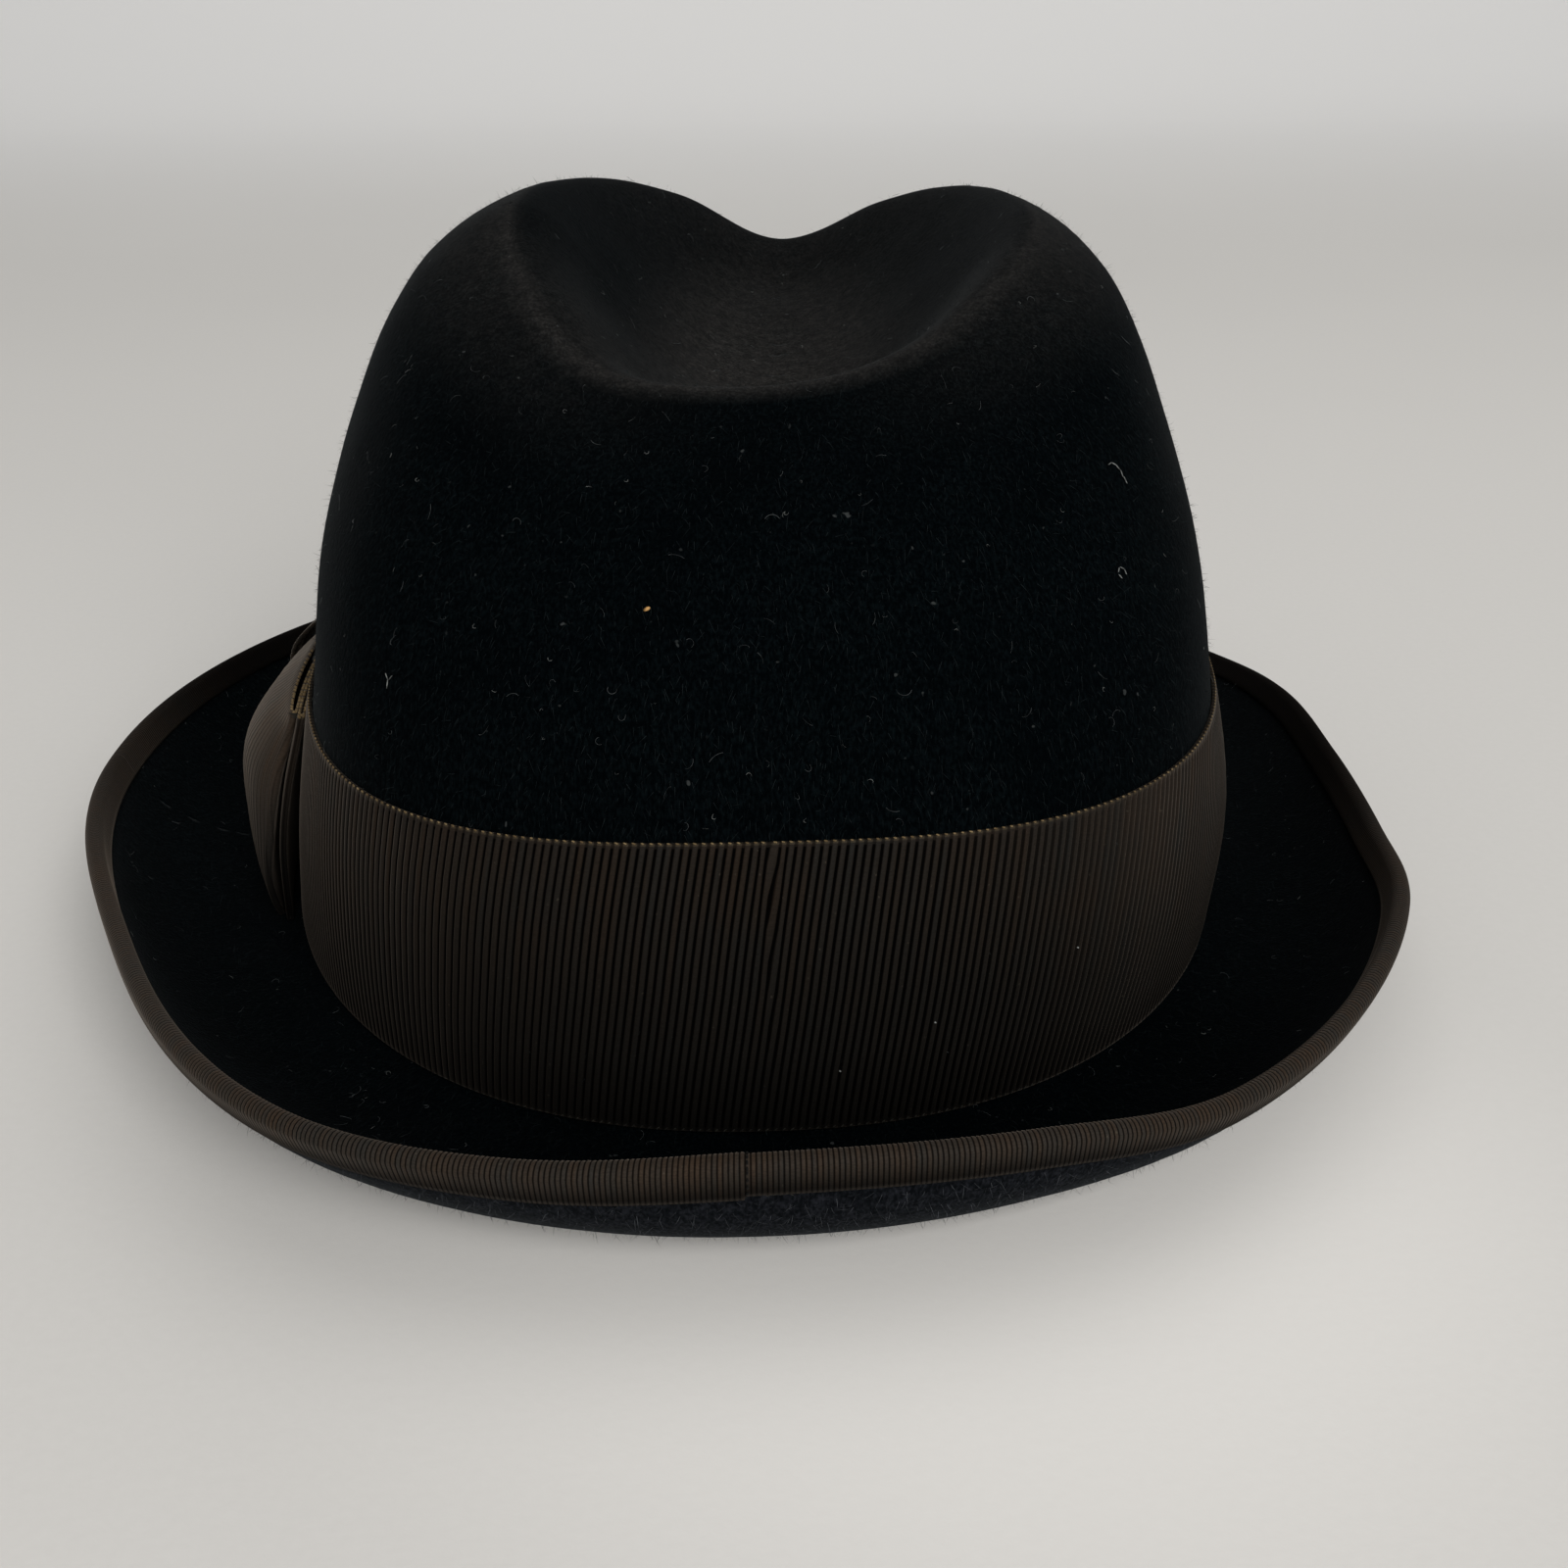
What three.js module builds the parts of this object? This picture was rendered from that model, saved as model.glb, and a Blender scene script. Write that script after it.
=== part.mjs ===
// A soft felt hat: creased crown, rolled brim, ribbon band with a side bow, and a bound brim edge.
// Millimetres, +Z up, the front of the hat towards -Y and the wearer's left towards +X.
// The origin is on the surface that the hat rests on, under the middle of its outer box.
import * as THREE from "three";

// Felt body
const feltWall = 1.8;
const openingHalfWidth = 85.0; // outside of the crown where the brim starts
const openingBackLength = 94.0;
const openingFrontLength = 98.0;
const crownHeight = 121.0; // brim break to the higher of the two ridges
const breakLift = 2.4; // how far the brim break rises at the sides
const brimWidth = 42.0; // along the felt, from the break to the edge
const restFlattening = 0.35; // how far the felt flattens where it rests

// Centre crease
const creaseHalfWidth = 43.0;
const creaseBackReach = 50.5;
const creaseFrontReach = 72.0;
const creaseShift = -5.0; // the crease sits a little to the wearer's right
const creaseTwist = 4.2; // and turns further that way at the front
const creaseFloorHeight = 88.0;
const creaseFrontRise = 9.0; // the floor climbs towards the front notch
const creaseSpineShare = 0.5; // length of the flat floor line over the length of the crease

// Ribbons
const ribbonWall = 1.0;
const clearance = 0.3;
const bandHeight = 45.5;
const bandFoot = 0.7; // the band's lower edge above the brim break
const bindingWidth = 4.2;

// Bow
const bowTurn = -12.0; // degrees round from the wearer's left, towards the front
const loopLength = 40.0; // knot to the end fold of each loop
const loopSwell = 6.0; // how far the outer ribbon billows
const loopFoot = 1.8; // lower edge of the bow above the brim break, at the knot
const loopEndSag = 1.1; // and this much lower at the end fold
const loopTop = 40.5; // upper edge of the bow above the brim break, at the knot
const loopEndDrop = 4.5; // and this much lower at the end fold
const underFoldInset = 11.0; // where the under fold starts, from the knot
const knotWidth = 9.0;
const ribbonStep = 6.0; // longest straight stretch of a bow ribbon

// How finely the cloth is divided
const turnSteps = 72;
const brimSteps = 9;

const feltColour = 0x0b0d10;
const ribbonColour = 0x2b2219;

// Crown wall from the brim break (0) to the top of the ridge (1): how far the outline has moved
// in towards the crease's rim at the sides and at the ends, and how square the outline is.
const crownWall = [
  { height: 0.0, side: 0.0, end: 0.0, square: 2.16 },
  { height: 0.2, side: 0.09, end: 0.056, square: 2.56 },
  { height: 0.4, side: 0.205, end: 0.125, square: 2.96 },
  { height: 0.6, side: 0.29, end: 0.243, square: 3.0 },
  { height: 0.75, side: 0.41, end: 0.405, square: 2.8 },
  { height: 0.87, side: 0.555, end: 0.61, square: 2.66 },
  { height: 0.95, side: 0.74, end: 0.83, square: 2.56 },
  { height: 1.0, side: 1.0, end: 1.0, square: 2.5 },
];
const wallHeights = [0, 0.1, 0.2, 0.3, 0.4, 0.5, 0.6, 0.7, 0.79, 0.87, 0.93, 0.975, 1];

// Height of the crease's rim round the crown, as a share of the crown height.
const ridgeLine = [
  { turn: 0, height: 1.0 },
  { turn: 30, height: 0.93 },
  { turn: 60, height: 0.843 },
  { turn: 90, height: 0.833 },
  { turn: 120, height: 0.868 },
  { turn: 150, height: 0.94 },
  { turn: 180, height: 0.983 },
  { turn: 210, height: 0.983 },
  { turn: 240, height: 0.936 },
  { turn: 270, height: 0.862 },
  { turn: 300, height: 0.951 },
  { turn: 330, height: 1.0 },
];

// From the rim of the crease (0) to its floor line (1): how far in, and how far down.
const creaseWall = [
  { inward: 0.12, drop: 0.09 },
  { inward: 0.28, drop: 0.35 },
  { inward: 0.48, drop: 0.68 },
  { inward: 0.7, drop: 0.9 },
  { inward: 1.0, drop: 1.0 },
];

// The brim round the hat: width as a share of brimWidth, and its slope in degrees at root and edge.
const brimLine = [
  { turn: 0, width: 0.981, root: -1.9, edge: 72 },
  { turn: 30, width: 0.969, root: -2.5, edge: 92 },
  { turn: 60, width: 1.09, root: 0.0, edge: 74 },
  { turn: 75, width: 1.08, root: -2.5, edge: 79 },
  { turn: 90, width: 1.09, root: -4.8, edge: 91 },
  { turn: 105, width: 1.06, root: -3.0, edge: 84 },
  { turn: 120, width: 0.952, root: -4.0, edge: 73 },
  { turn: 150, width: 0.902, root: -0.8, edge: 76 },
  { turn: 165, width: 0.779, root: -1.9, edge: 75 },
  { turn: 180, width: 0.767, root: -2.8, edge: 73 },
  { turn: 195, width: 0.833, root: -3.7, edge: 58 },
  { turn: 210, width: 0.895, root: -4.3, edge: 38 },
  { turn: 240, width: 0.964, root: -4.3, edge: 27 },
  { turn: 270, width: 1, root: -4.0, edge: 28 },
  { turn: 300, width: 0.995, root: -2.7, edge: 40 },
  { turn: 330, width: 0.974, root: -1.9, edge: 56 },
];
const brimCurl = 1.53; // above 1 the brim turns up mostly near its edge

// One loop of the bow, as a ribbon that leaves the knot next to the band, folds at its end and
// comes back outside: distance from the knot's edge, layer from the inner (0) to the outer (1),
// swell, and how far it has moved from its place in the knot to its place on what is under it.
const loopRibbon = [
  { along: 0.0, layer: 0.0, swell: 0.0, seat: 0.0 },
  { along: 0.2, layer: 0.0, swell: 0.02, seat: 1.0 },
  { along: 0.65, layer: 0.0, swell: 0.03, seat: 1.0 },
  { along: 0.955, layer: 0.0, swell: 0.0, seat: 1.0 },
  { along: 1.0, layer: 0.5, swell: 0.02, seat: 1.0 },
  { along: 0.97, layer: 1.0, swell: 0.12, seat: 1.0 },
  { along: 0.86, layer: 1.0, swell: 0.55, seat: 1.0 },
  { along: 0.68, layer: 1.0, swell: 0.93, seat: 1.0 },
  { along: 0.46, layer: 1.0, swell: 1.0, seat: 1.0 },
  { along: 0.24, layer: 1.0, swell: 0.68, seat: 1.0 },
  { along: 0.08, layer: 1.0, swell: 0.16, seat: 0.5 },
  { along: 0.0, layer: 1.0, swell: 0.0, seat: 0.0 },
];

// How much of the loop's swell there is from its lower edge (0) to its upper edge (1).
const swellLine = [
  { height: 0.0, swell: 0.0 },
  { height: 0.2, swell: 0.5 },
  { height: 0.45, swell: 0.88 },
  { height: 0.65, swell: 1.0 },
  { height: 0.85, swell: 0.8 },
  { height: 1.0, swell: 0.5 },
];

const radians = THREE.MathUtils.degToRad;

// A smooth curve through one column of a table; a table that runs round the hat joins up at 360.
function readTable(rows, key, column, at, round = 0) {
  let keys = rows.map((row) => row[key]);
  let values = rows.map((row) => row[column]);
  let x = at;
  if (round) {
    const first = keys[0];
    x = ((((at - first) % round) + round) % round) + first;
    keys = [...keys.slice(-2).map((k) => k - round), ...keys, ...keys.slice(0, 2).map((k) => k + round)];
    values = [...values.slice(-2), ...values, ...values.slice(0, 2)];
  }
  const last = keys.length - 1;
  x = Math.min(Math.max(x, keys[0]), keys[last]);
  let i = 0;
  while (i < last - 1 && keys[i + 1] <= x) i += 1;
  const slope = (k) => {
    const a = Math.max(k - 1, 0);
    const b = Math.min(k + 1, last);
    return (values[b] - values[a]) / (keys[b] - keys[a]);
  };
  const step = keys[i + 1] - keys[i];
  const u = (x - keys[i]) / step;
  const rise = u * u * (3 - 2 * u);
  const leave = u * (1 - u) * (1 - u) * step * slope(i);
  const arrive = u * u * (u - 1) * step * slope(i + 1);
  return values[i] * (1 - rise) + values[i + 1] * rise + leave + arrive;
}

// A point of an egg-shaped outline; a larger square makes the corners fuller.
function outline(turn, halfWidth, back, front, square) {
  const c = Math.cos(radians(turn));
  const s = Math.sin(radians(turn));
  const reach = s > 0 ? back : front;
  return [
    halfWidth * Math.sign(c) * Math.abs(c) ** (2 / square),
    reach * Math.sign(s) * Math.abs(s) ** (2 / square),
  ];
}

function breakHeight(turn) {
  return breakLift * Math.abs(Math.cos(radians(turn))) ** 2.6;
}

function ridgeHeight(turn) {
  return crownHeight * readTable(ridgeLine, "turn", "height", turn, 360);
}

// The crease runs a little off the middle, and more so at the front.
function creaseMiddle(y) {
  return creaseShift + (creaseTwist * y) / creaseFrontReach;
}

function creaseRim(turn) {
  const [x, y] = outline(turn, creaseHalfWidth, creaseBackReach, creaseFrontReach, 2);
  return [x + creaseMiddle(y), y];
}

// A point of the crown's outside at a share of its height.
function crownPoint(turn, share) {
  const square = readTable(crownWall, "height", "square", share);
  const [x, y] = outline(turn, openingHalfWidth, openingBackLength, openingFrontLength, square);
  const [rimX, rimY] = creaseRim(turn);
  const sideways = Math.cos(radians(turn)) ** 2;
  const side = readTable(crownWall, "height", "side", share);
  const end = readTable(crownWall, "height", "end", share);
  const inward = side * sideways + end * (1 - sideways);
  const foot = breakHeight(turn);
  return new THREE.Vector3(
    x + (rimX - x) * inward,
    y + (rimY - y) * inward,
    foot + (ridgeHeight(turn) - foot) * share,
  );
}

// A point inside the crease, from the rim (0) to the floor line (1).
function creasePoint(turn, row) {
  const [rimX, rimY] = creaseRim(turn);
  const middle = (creaseBackReach - creaseFrontReach) / 2;
  const floorY = middle + (rimY - middle) * creaseSpineShare;
  const frontEnd = middle - creaseFrontReach * creaseSpineShare;
  const floorZ = creaseFloorHeight + creaseFrontRise * Math.min(Math.max(floorY / frontEnd, 0), 1);
  const rimZ = ridgeHeight(turn);
  return new THREE.Vector3(
    rimX + (creaseMiddle(floorY) - rimX) * row.inward,
    rimY + (floorY - rimY) * row.inward,
    rimZ + (floorZ - rimZ) * row.drop,
  );
}

// The direction in which the brim leaves the crown, seen from above.
function brimDirection(turn) {
  const square = crownWall[0].square;
  const [x, y] = outline(turn, openingHalfWidth, openingBackLength, openingFrontLength, square);
  const reach = y > 0 ? openingBackLength : openingFrontLength;
  const across = (Math.sign(x) * Math.abs(x / openingHalfWidth) ** (square - 1)) / openingHalfWidth;
  const along = (Math.sign(y) * Math.abs(y / reach) ** (square - 1)) / reach;
  return new THREE.Vector2(across, along).normalize();
}

function brimWidthAt(turn) {
  return brimWidth * readTable(brimLine, "turn", "width", turn, 360);
}

// The brim's cross-section at one turn: the felt's upper side at a distance from the break, with
// the direction along the felt (tangent) and the direction out of its upper side (normal).
function brimFrame(turn, distance) {
  const width = brimWidthAt(turn);
  const root = radians(readTable(brimLine, "turn", "root", turn, 360));
  const edge = radians(readTable(brimLine, "turn", "edge", turn, 360));
  const slopeAt = (share) => root + (edge - root) * share ** brimCurl;
  const pieces = 24;
  let out = 0;
  let up = 0;
  for (let k = 0; k < pieces; k += 1) {
    const slope = slopeAt((((k + 0.5) / pieces) * distance) / width);
    out += (distance / pieces) * Math.cos(slope);
    up += (distance / pieces) * Math.sin(slope);
  }
  const slope = slopeAt(distance / width);
  const away = brimDirection(turn);
  const start = crownPoint(turn, 0);
  const point = new THREE.Vector3(start.x + away.x * out, start.y + away.y * out, start.z + up);
  const tangent = new THREE.Vector3(away.x * Math.cos(slope), away.y * Math.cos(slope), Math.sin(slope));
  const normal = new THREE.Vector3(-away.x * Math.sin(slope), -away.y * Math.sin(slope), Math.cos(slope));
  return { point, tangent, normal };
}

// A closed surface from points and triangles that share them.
function surface(points, triangles) {
  const geometry = new THREE.BufferGeometry();
  geometry.setAttribute("position", new THREE.Float32BufferAttribute(points.flatMap((p) => p.toArray()), 3));
  geometry.setIndex(triangles.flat());
  return geometry;
}

// Two triangles for each cell between two neighbouring rows of points.
function cells(a, b, count, closed) {
  const triangles = [];
  const last = closed ? count : count - 1;
  for (let j = 0; j < last; j += 1) {
    const k = (j + 1) % count;
    triangles.push([a(j), a(k), b(k)], [a(j), b(k), b(j)]);
  }
  return triangles;
}

// Sweeps a closed cross-section round the hat: section(turn) gives its points.
function ring(section) {
  const points = [];
  let size = 0;
  for (let j = 0; j < turnSteps; j += 1) {
    const loop = section((360 * j) / turnSteps);
    size = loop.length;
    points.push(...loop);
  }
  const triangles = [];
  for (let i = 0; i < size; i += 1) {
    const a = (j) => j * size + i;
    const b = (j) => j * size + ((i + 1) % size);
    triangles.push(...cells(a, b, turnSteps, true));
  }
  return surface(points, triangles);
}

// The felt: one skin from the brim's edge up the crown and down into the crease, given its wall.
function makeFelt() {
  const points = [];
  const rows = [];
  const addRow = (make) => {
    const row = [];
    for (let j = 0; j < turnSteps; j += 1) {
      row.push(points.length);
      points.push(make((360 * j) / turnSteps));
    }
    rows.push(row);
  };
  addRow((turn) => brimFrame(turn, brimWidthAt(turn)).point);
  for (let i = 0; i < brimSteps; i += 1) {
    const share = 1 - i / brimSteps;
    addRow((turn) => brimFrame(turn, (brimWidthAt(turn) - bindingWidth) * share).point);
  }
  wallHeights.forEach((share) => addRow((turn) => crownPoint(turn, share)));
  creaseWall.slice(0, -1).forEach((row) => addRow((turn) => creasePoint(turn, row)));

  // The floor line is shared by the two halves of the crease.
  const floorRow = creaseWall[creaseWall.length - 1];
  const floor = new Array(turnSteps);
  for (let j = 0; j < turnSteps; j += 1) {
    const mirrored = (turnSteps / 2 - j + turnSteps) % turnSteps;
    if (floor[mirrored] === undefined) {
      floor[j] = points.length;
      points.push(creasePoint((360 * j) / turnSteps, floorRow));
    } else {
      floor[j] = floor[mirrored];
    }
  }
  rows.push(floor);

  const skin = [];
  for (let i = 0; i + 1 < rows.length; i += 1) {
    skin.push(...cells((j) => rows[i][j], (j) => rows[i + 1][j], turnSteps, true));
  }
  const normals = surface(points, skin);
  normals.computeVertexNormals();
  const direction = normals.getAttribute("normal");
  const inner = points.map((p, i) => {
    const n = new THREE.Vector3().fromBufferAttribute(direction, i);
    return p.clone().addScaledVector(n, -feltWall);
  });
  const count = points.length;
  const back = skin.map(([a, b, c]) => [a + count, c + count, b + count]);
  const edge = cells((j) => rows[0][j] + count, (j) => rows[0][j], turnSteps, true);
  return surface([...points, ...inner], [...skin, ...back, ...edge]);
}

// A point on the crown's outside at a height in millimetres above the brim break, moved outwards.
function wallPoint(turn, rise, offset) {
  const share = (t) => rise / (ridgeHeight(t) - breakHeight(t));
  const point = crownPoint(turn, share(turn));
  const step = 0.5;
  const around = crownPoint(turn + step, share(turn)).sub(crownPoint(turn - step, share(turn)));
  const upward = crownPoint(turn, share(turn) + 0.01).sub(point);
  return point.addScaledVector(around.cross(upward).normalize(), offset);
}

function makeHatband() {
  const heights = [0, 1 / 3, 2 / 3, 1].map((share) => bandFoot + (bandHeight - bandFoot) * share);
  return ring((turn) => [
    ...heights.map((rise) => wallPoint(turn, rise, clearance + ribbonWall)),
    ...heights.toReversed().map((rise) => wallPoint(turn, rise, clearance)),
  ]);
}

// The binding is folded over the edge: a U with a round nose.
function makeBinding() {
  const noseRadius = feltWall / 2 + clearance;
  return ring((turn) => {
    const width = brimWidthAt(turn);
    const inner = brimFrame(turn, width - bindingWidth);
    const edge = brimFrame(turn, width);
    const onFelt = (frame, offset) => frame.point.clone().addScaledVector(frame.normal, offset);
    const nose = (degrees, radius) =>
      onFelt(edge, -feltWall / 2 + radius * Math.sin(radians(degrees))).addScaledVector(
        edge.tangent,
        radius * Math.cos(radians(degrees)),
      );
    const outerNose = [-90, -45, 0, 45, 90].map((angle) => nose(angle, noseRadius + ribbonWall));
    return [
      onFelt(inner, -feltWall - clearance - ribbonWall),
      ...outerNose,
      onFelt(inner, clearance + ribbonWall),
      onFelt(inner, clearance),
      nose(80, noseRadius),
      nose(-80, noseRadius),
      onFelt(inner, -feltWall - clearance),
    ];
  });
}

// A place in front of the band: distance along it from the knot, height, and how far it stands off.
function bowPoint(along, rise, stand) {
  const turn = bowTurn + THREE.MathUtils.radToDeg(along / openingHalfWidth);
  return wallPoint(turn, rise, clearance + ribbonWall + stand);
}

// Both edges of the bow slope down from the knot to the end folds.
function bowTop(along) {
  return loopTop - (loopEndDrop * Math.abs(along)) / loopLength;
}

function bowFoot(along) {
  return loopFoot - (loopEndSag * Math.abs(along)) / loopLength;
}

// Adds points to a line of [along, stand] pairs so that long stretches bend with the band.
function divide(line, counts) {
  return line.flatMap(([along, stand], k) => {
    if (k + 1 === line.length) return [[along, stand]];
    const [nextAlong, nextStand] = line[k + 1];
    return Array.from({ length: counts[k] }, (_, i) => [
      along + ((nextAlong - along) * i) / counts[k],
      stand + ((nextStand - stand) * i) / counts[k],
    ]);
  });
}

// A ribbon on edge: its middle line is given for each height as [along, stand] pairs.
function ribbonOnEdge(middleLine, levels) {
  const points = [];
  let size = 0;
  const pattern = middleLine(0);
  const counts = pattern.slice(1).map(([along], k) => {
    return Math.max(Math.ceil(Math.abs(along - pattern[k][0]) / ribbonStep), 1);
  });
  levels.forEach((level) => {
    const line = divide(middleLine(level), counts);
    const sides = [1, -1].map((side) =>
      line.map(([along, stand], k) => {
        const before = line[Math.max(k - 1, 0)];
        const after = line[Math.min(k + 1, line.length - 1)];
        const way = new THREE.Vector2(after[0] - before[0], after[1] - before[1]).normalize();
        const shift = (side * ribbonWall) / 2;
        const rise = bowFoot(along) + (bowTop(along) - bowFoot(along)) * level;
        return bowPoint(along - way.y * shift, rise, stand + way.x * shift);
      }),
    );
    size = line.length;
    points.push(...sides[0], ...sides[1].reverse());
  });
  const loop = 2 * size;
  const triangles = [];
  for (let i = 0; i + 1 < levels.length; i += 1) {
    triangles.push(...cells((j) => i * loop + j, (j) => (i + 1) * loop + j, loop, true));
  }
  const top0 = (levels.length - 1) * loop;
  for (let k = 0; k + 1 < size; k += 1) {
    const across = [k, k + 1, loop - 2 - k, loop - 1 - k];
    const [a, b, c, d] = across;
    triangles.push([a, c, b], [a, d, c]);
    triangles.push([top0 + a, top0 + b, top0 + c], [top0 + a, top0 + c, top0 + d]);
  }
  return surface(points, triangles);
}

const layerPitch = ribbonWall + clearance;

// A loop of the bow on one side of the knot: side is 1 towards the back and -1 towards the front.
function makeLoop(side, waistStand, seatStand) {
  const knotEdge = knotWidth / 2 + clearance;
  const middleLine = (level) => {
    const swellHere = loopSwell * readTable(swellLine, "height", "swell", level);
    const free = loopRibbon.map((row) => [
      side * (knotEdge + row.along * (loopLength - knotEdge)),
      waistStand + (seatStand - waistStand) * row.seat + row.layer * layerPitch + row.swell * swellHere,
    ]);
    const inKnot = [waistStand, waistStand + layerPitch].map((stand) => [side * clearance, stand]);
    const line = [inKnot[0], ...free, inKnot[1]];
    return side > 0 ? line : line.toReversed();
  };
  return ribbonOnEdge(middleLine, swellLine.map((row) => row.height));
}

// The narrow fold that lies between the back loop and the band.
function makeUnderFold(firstStand) {
  const end = loopLength + ribbonWall;
  const turnBack = layerPitch / 2;
  const line = [
    [underFoldInset, firstStand],
    [(underFoldInset + end) / 2, firstStand],
    [end - turnBack, firstStand],
    [end, firstStand + turnBack],
    [end - turnBack, firstStand + layerPitch],
    [(underFoldInset + end) / 2, firstStand + layerPitch],
    [underFoldInset, firstStand + layerPitch],
  ];
  return ribbonOnEdge(() => line, [0, 0.5, 1]);
}

// The wrap round the middle of the bow: a flat closed ring that stands across the band.
function makeKnot(innerStand, outerStand) {
  const across = [-0.5, -0.25, 0, 0.25, 0.5].map((share) => share * knotWidth);
  const low = loopFoot - clearance;
  const high = loopTop + clearance;
  const mid = (low + high) / 2;
  const hole = [
    [low, innerStand],
    [mid, innerStand],
    [high, innerStand],
    [high, outerStand],
    [mid, outerStand],
    [low, outerStand],
  ];
  const grow = (value, middle) => value + Math.sign(value - middle) * ribbonWall;
  const standMiddle = (innerStand + outerStand) / 2;
  const points = [];
  across.forEach((along) => {
    hole.forEach(([rise, stand]) => points.push(bowPoint(along, rise, stand)));
    hole.forEach(([rise, stand]) => points.push(bowPoint(along, grow(rise, mid), grow(stand, standMiddle))));
  });
  const half = hole.length;
  const loop = 2 * half;
  const triangles = [];
  for (let i = 0; i + 1 < across.length; i += 1) {
    triangles.push(...cells((j) => (i + 1) * loop + j, (j) => i * loop + j, half, true));
    triangles.push(...cells((j) => i * loop + half + j, (j) => (i + 1) * loop + half + j, half, true));
  }
  const end = (across.length - 1) * loop;
  triangles.push(...cells((j) => j, (j) => half + j, half, true));
  triangles.push(...cells((j) => end + half + j, (j) => end + j, half, true));
  return surface(points, triangles);
}

const feltMaterial = new THREE.MeshStandardMaterial({ color: feltColour, roughness: 0.95, metalness: 0 });
const ribbonMaterial = new THREE.MeshStandardMaterial({ color: ribbonColour, roughness: 0.7, metalness: 0 });

const onBand = clearance + ribbonWall / 2; // middle of a ribbon that lies on the band
const onUnderFold = onBand + 2 * layerPitch;
const inKnot = onBand + layerPitch; // the knot's own ribbon lies between the bow and the band
const knotOutside = inKnot + layerPitch + ribbonWall / 2 + clearance;

const pieces = {
  felt_body: [makeFelt(), feltMaterial],
  hatband: [makeHatband(), ribbonMaterial],
  brim_binding: [makeBinding(), ribbonMaterial],
  bow_loop: [makeLoop(1, inKnot, onUnderFold), ribbonMaterial],
  bow_under_fold: [makeUnderFold(onBand), ribbonMaterial],
  bow_front_loop: [makeLoop(-1, inKnot, onBand), ribbonMaterial],
  bow_knot: [makeKnot(clearance + ribbonWall, knotOutside), ribbonMaterial],
};

// The hat settles on the lowest part of its felt in front and behind.
function lowestIn(geometry, sign) {
  const position = geometry.getAttribute("position");
  const lowest = new THREE.Vector3(0, 0, Infinity);
  const point = new THREE.Vector3();
  for (let i = 0; i < position.count; i += 1) {
    point.fromBufferAttribute(position, i);
    if (point.y * sign > 0 && point.z < lowest.z) lowest.copy(point);
  }
  return lowest;
}

function settle() {
  const felt = pieces.felt_body[0];
  for (let pass = 0; pass < 3; pass += 1) {
    const back = lowestIn(felt, 1);
    const front = lowestIn(felt, -1);
    const tilt = new THREE.Matrix4().makeRotationX(-Math.atan2(back.z - front.z, back.y - front.y));
    Object.values(pieces).forEach(([geometry]) => geometry.applyMatrix4(tilt));
  }
  const box = new THREE.Box3();
  Object.values(pieces).forEach(([geometry]) => {
    box.union(new THREE.Box3().setFromBufferAttribute(geometry.getAttribute("position")));
  });
  const middle = box.getCenter(new THREE.Vector3());
  const table = lowestIn(felt, 1).z + restFlattening;
  Object.values(pieces).forEach(([geometry]) => geometry.translate(-middle.x, -middle.y, -table));
  const position = felt.getAttribute("position");
  for (let i = 0; i < position.count; i += 1) {
    position.setZ(i, Math.max(position.getZ(i), 0));
  }
}
settle();

const hat = new THREE.Group();
Object.entries(pieces).forEach(([name, [geometry, material]]) => {
  geometry.computeVertexNormals();
  const mesh = new THREE.Mesh(geometry, material);
  mesh.name = name;
  hat.add(mesh);
});

export default hat;
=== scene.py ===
import math
import random
from bisect import bisect_right

import bmesh
import bpy
from mathutils import Matrix, Quaternion, Vector, noise


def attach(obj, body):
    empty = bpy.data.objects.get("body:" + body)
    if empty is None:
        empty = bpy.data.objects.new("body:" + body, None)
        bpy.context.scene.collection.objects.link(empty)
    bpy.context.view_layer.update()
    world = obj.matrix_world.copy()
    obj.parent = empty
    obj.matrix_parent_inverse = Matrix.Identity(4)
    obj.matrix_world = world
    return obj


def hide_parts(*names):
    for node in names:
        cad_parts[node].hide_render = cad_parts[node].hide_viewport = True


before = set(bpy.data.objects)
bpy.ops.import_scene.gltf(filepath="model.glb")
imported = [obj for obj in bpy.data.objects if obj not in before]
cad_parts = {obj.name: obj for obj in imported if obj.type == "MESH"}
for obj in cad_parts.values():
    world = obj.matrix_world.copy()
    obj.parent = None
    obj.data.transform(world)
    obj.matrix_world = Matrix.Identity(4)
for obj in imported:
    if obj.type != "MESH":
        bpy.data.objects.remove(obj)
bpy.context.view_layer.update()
print("frame loaded")

# Shapes are worked out in millimetres with the brim break near z = 0, then set down on the table
setDown = {"tiltDegrees": -0.048, "shift": (-3.142, 5.156, 1.828)}
tableTurn = Matrix.Rotation(math.radians(setDown["tiltDegrees"]), 3, "X")


def onTable(point):
    return (tableTurn @ point + Vector(setDown["shift"])) * 0.001


# Camera and light

camera = {
    "target": (-5.829, 2.069, 12.359),
    "distance": 323.73,
    "azimuth": 2.5,
    "elevation": 26.149,
    "roll": -0.3,
    "lens": 38.128,
}


def addCamera():
    turn = math.radians(camera["azimuth"])
    rise = math.radians(camera["elevation"])
    back = Vector((math.sin(turn) * math.cos(rise), math.cos(turn) * math.cos(rise), math.sin(rise)))
    data = bpy.data.cameras.new("camera")
    data.sensor_width = 36
    data.lens = camera["lens"]
    eye = bpy.data.objects.new("camera", data)
    bpy.context.scene.collection.objects.link(eye)
    eye.location = onTable(Vector(camera["target"]) + back * camera["distance"])
    eye.rotation_mode = "QUATERNION"
    aim = (tableTurn @ back).to_track_quat("Z", "Y")
    eye.rotation_quaternion = aim @ Quaternion((0, 0, 1), math.radians(camera["roll"]))
    bpy.context.scene.camera = eye


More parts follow.
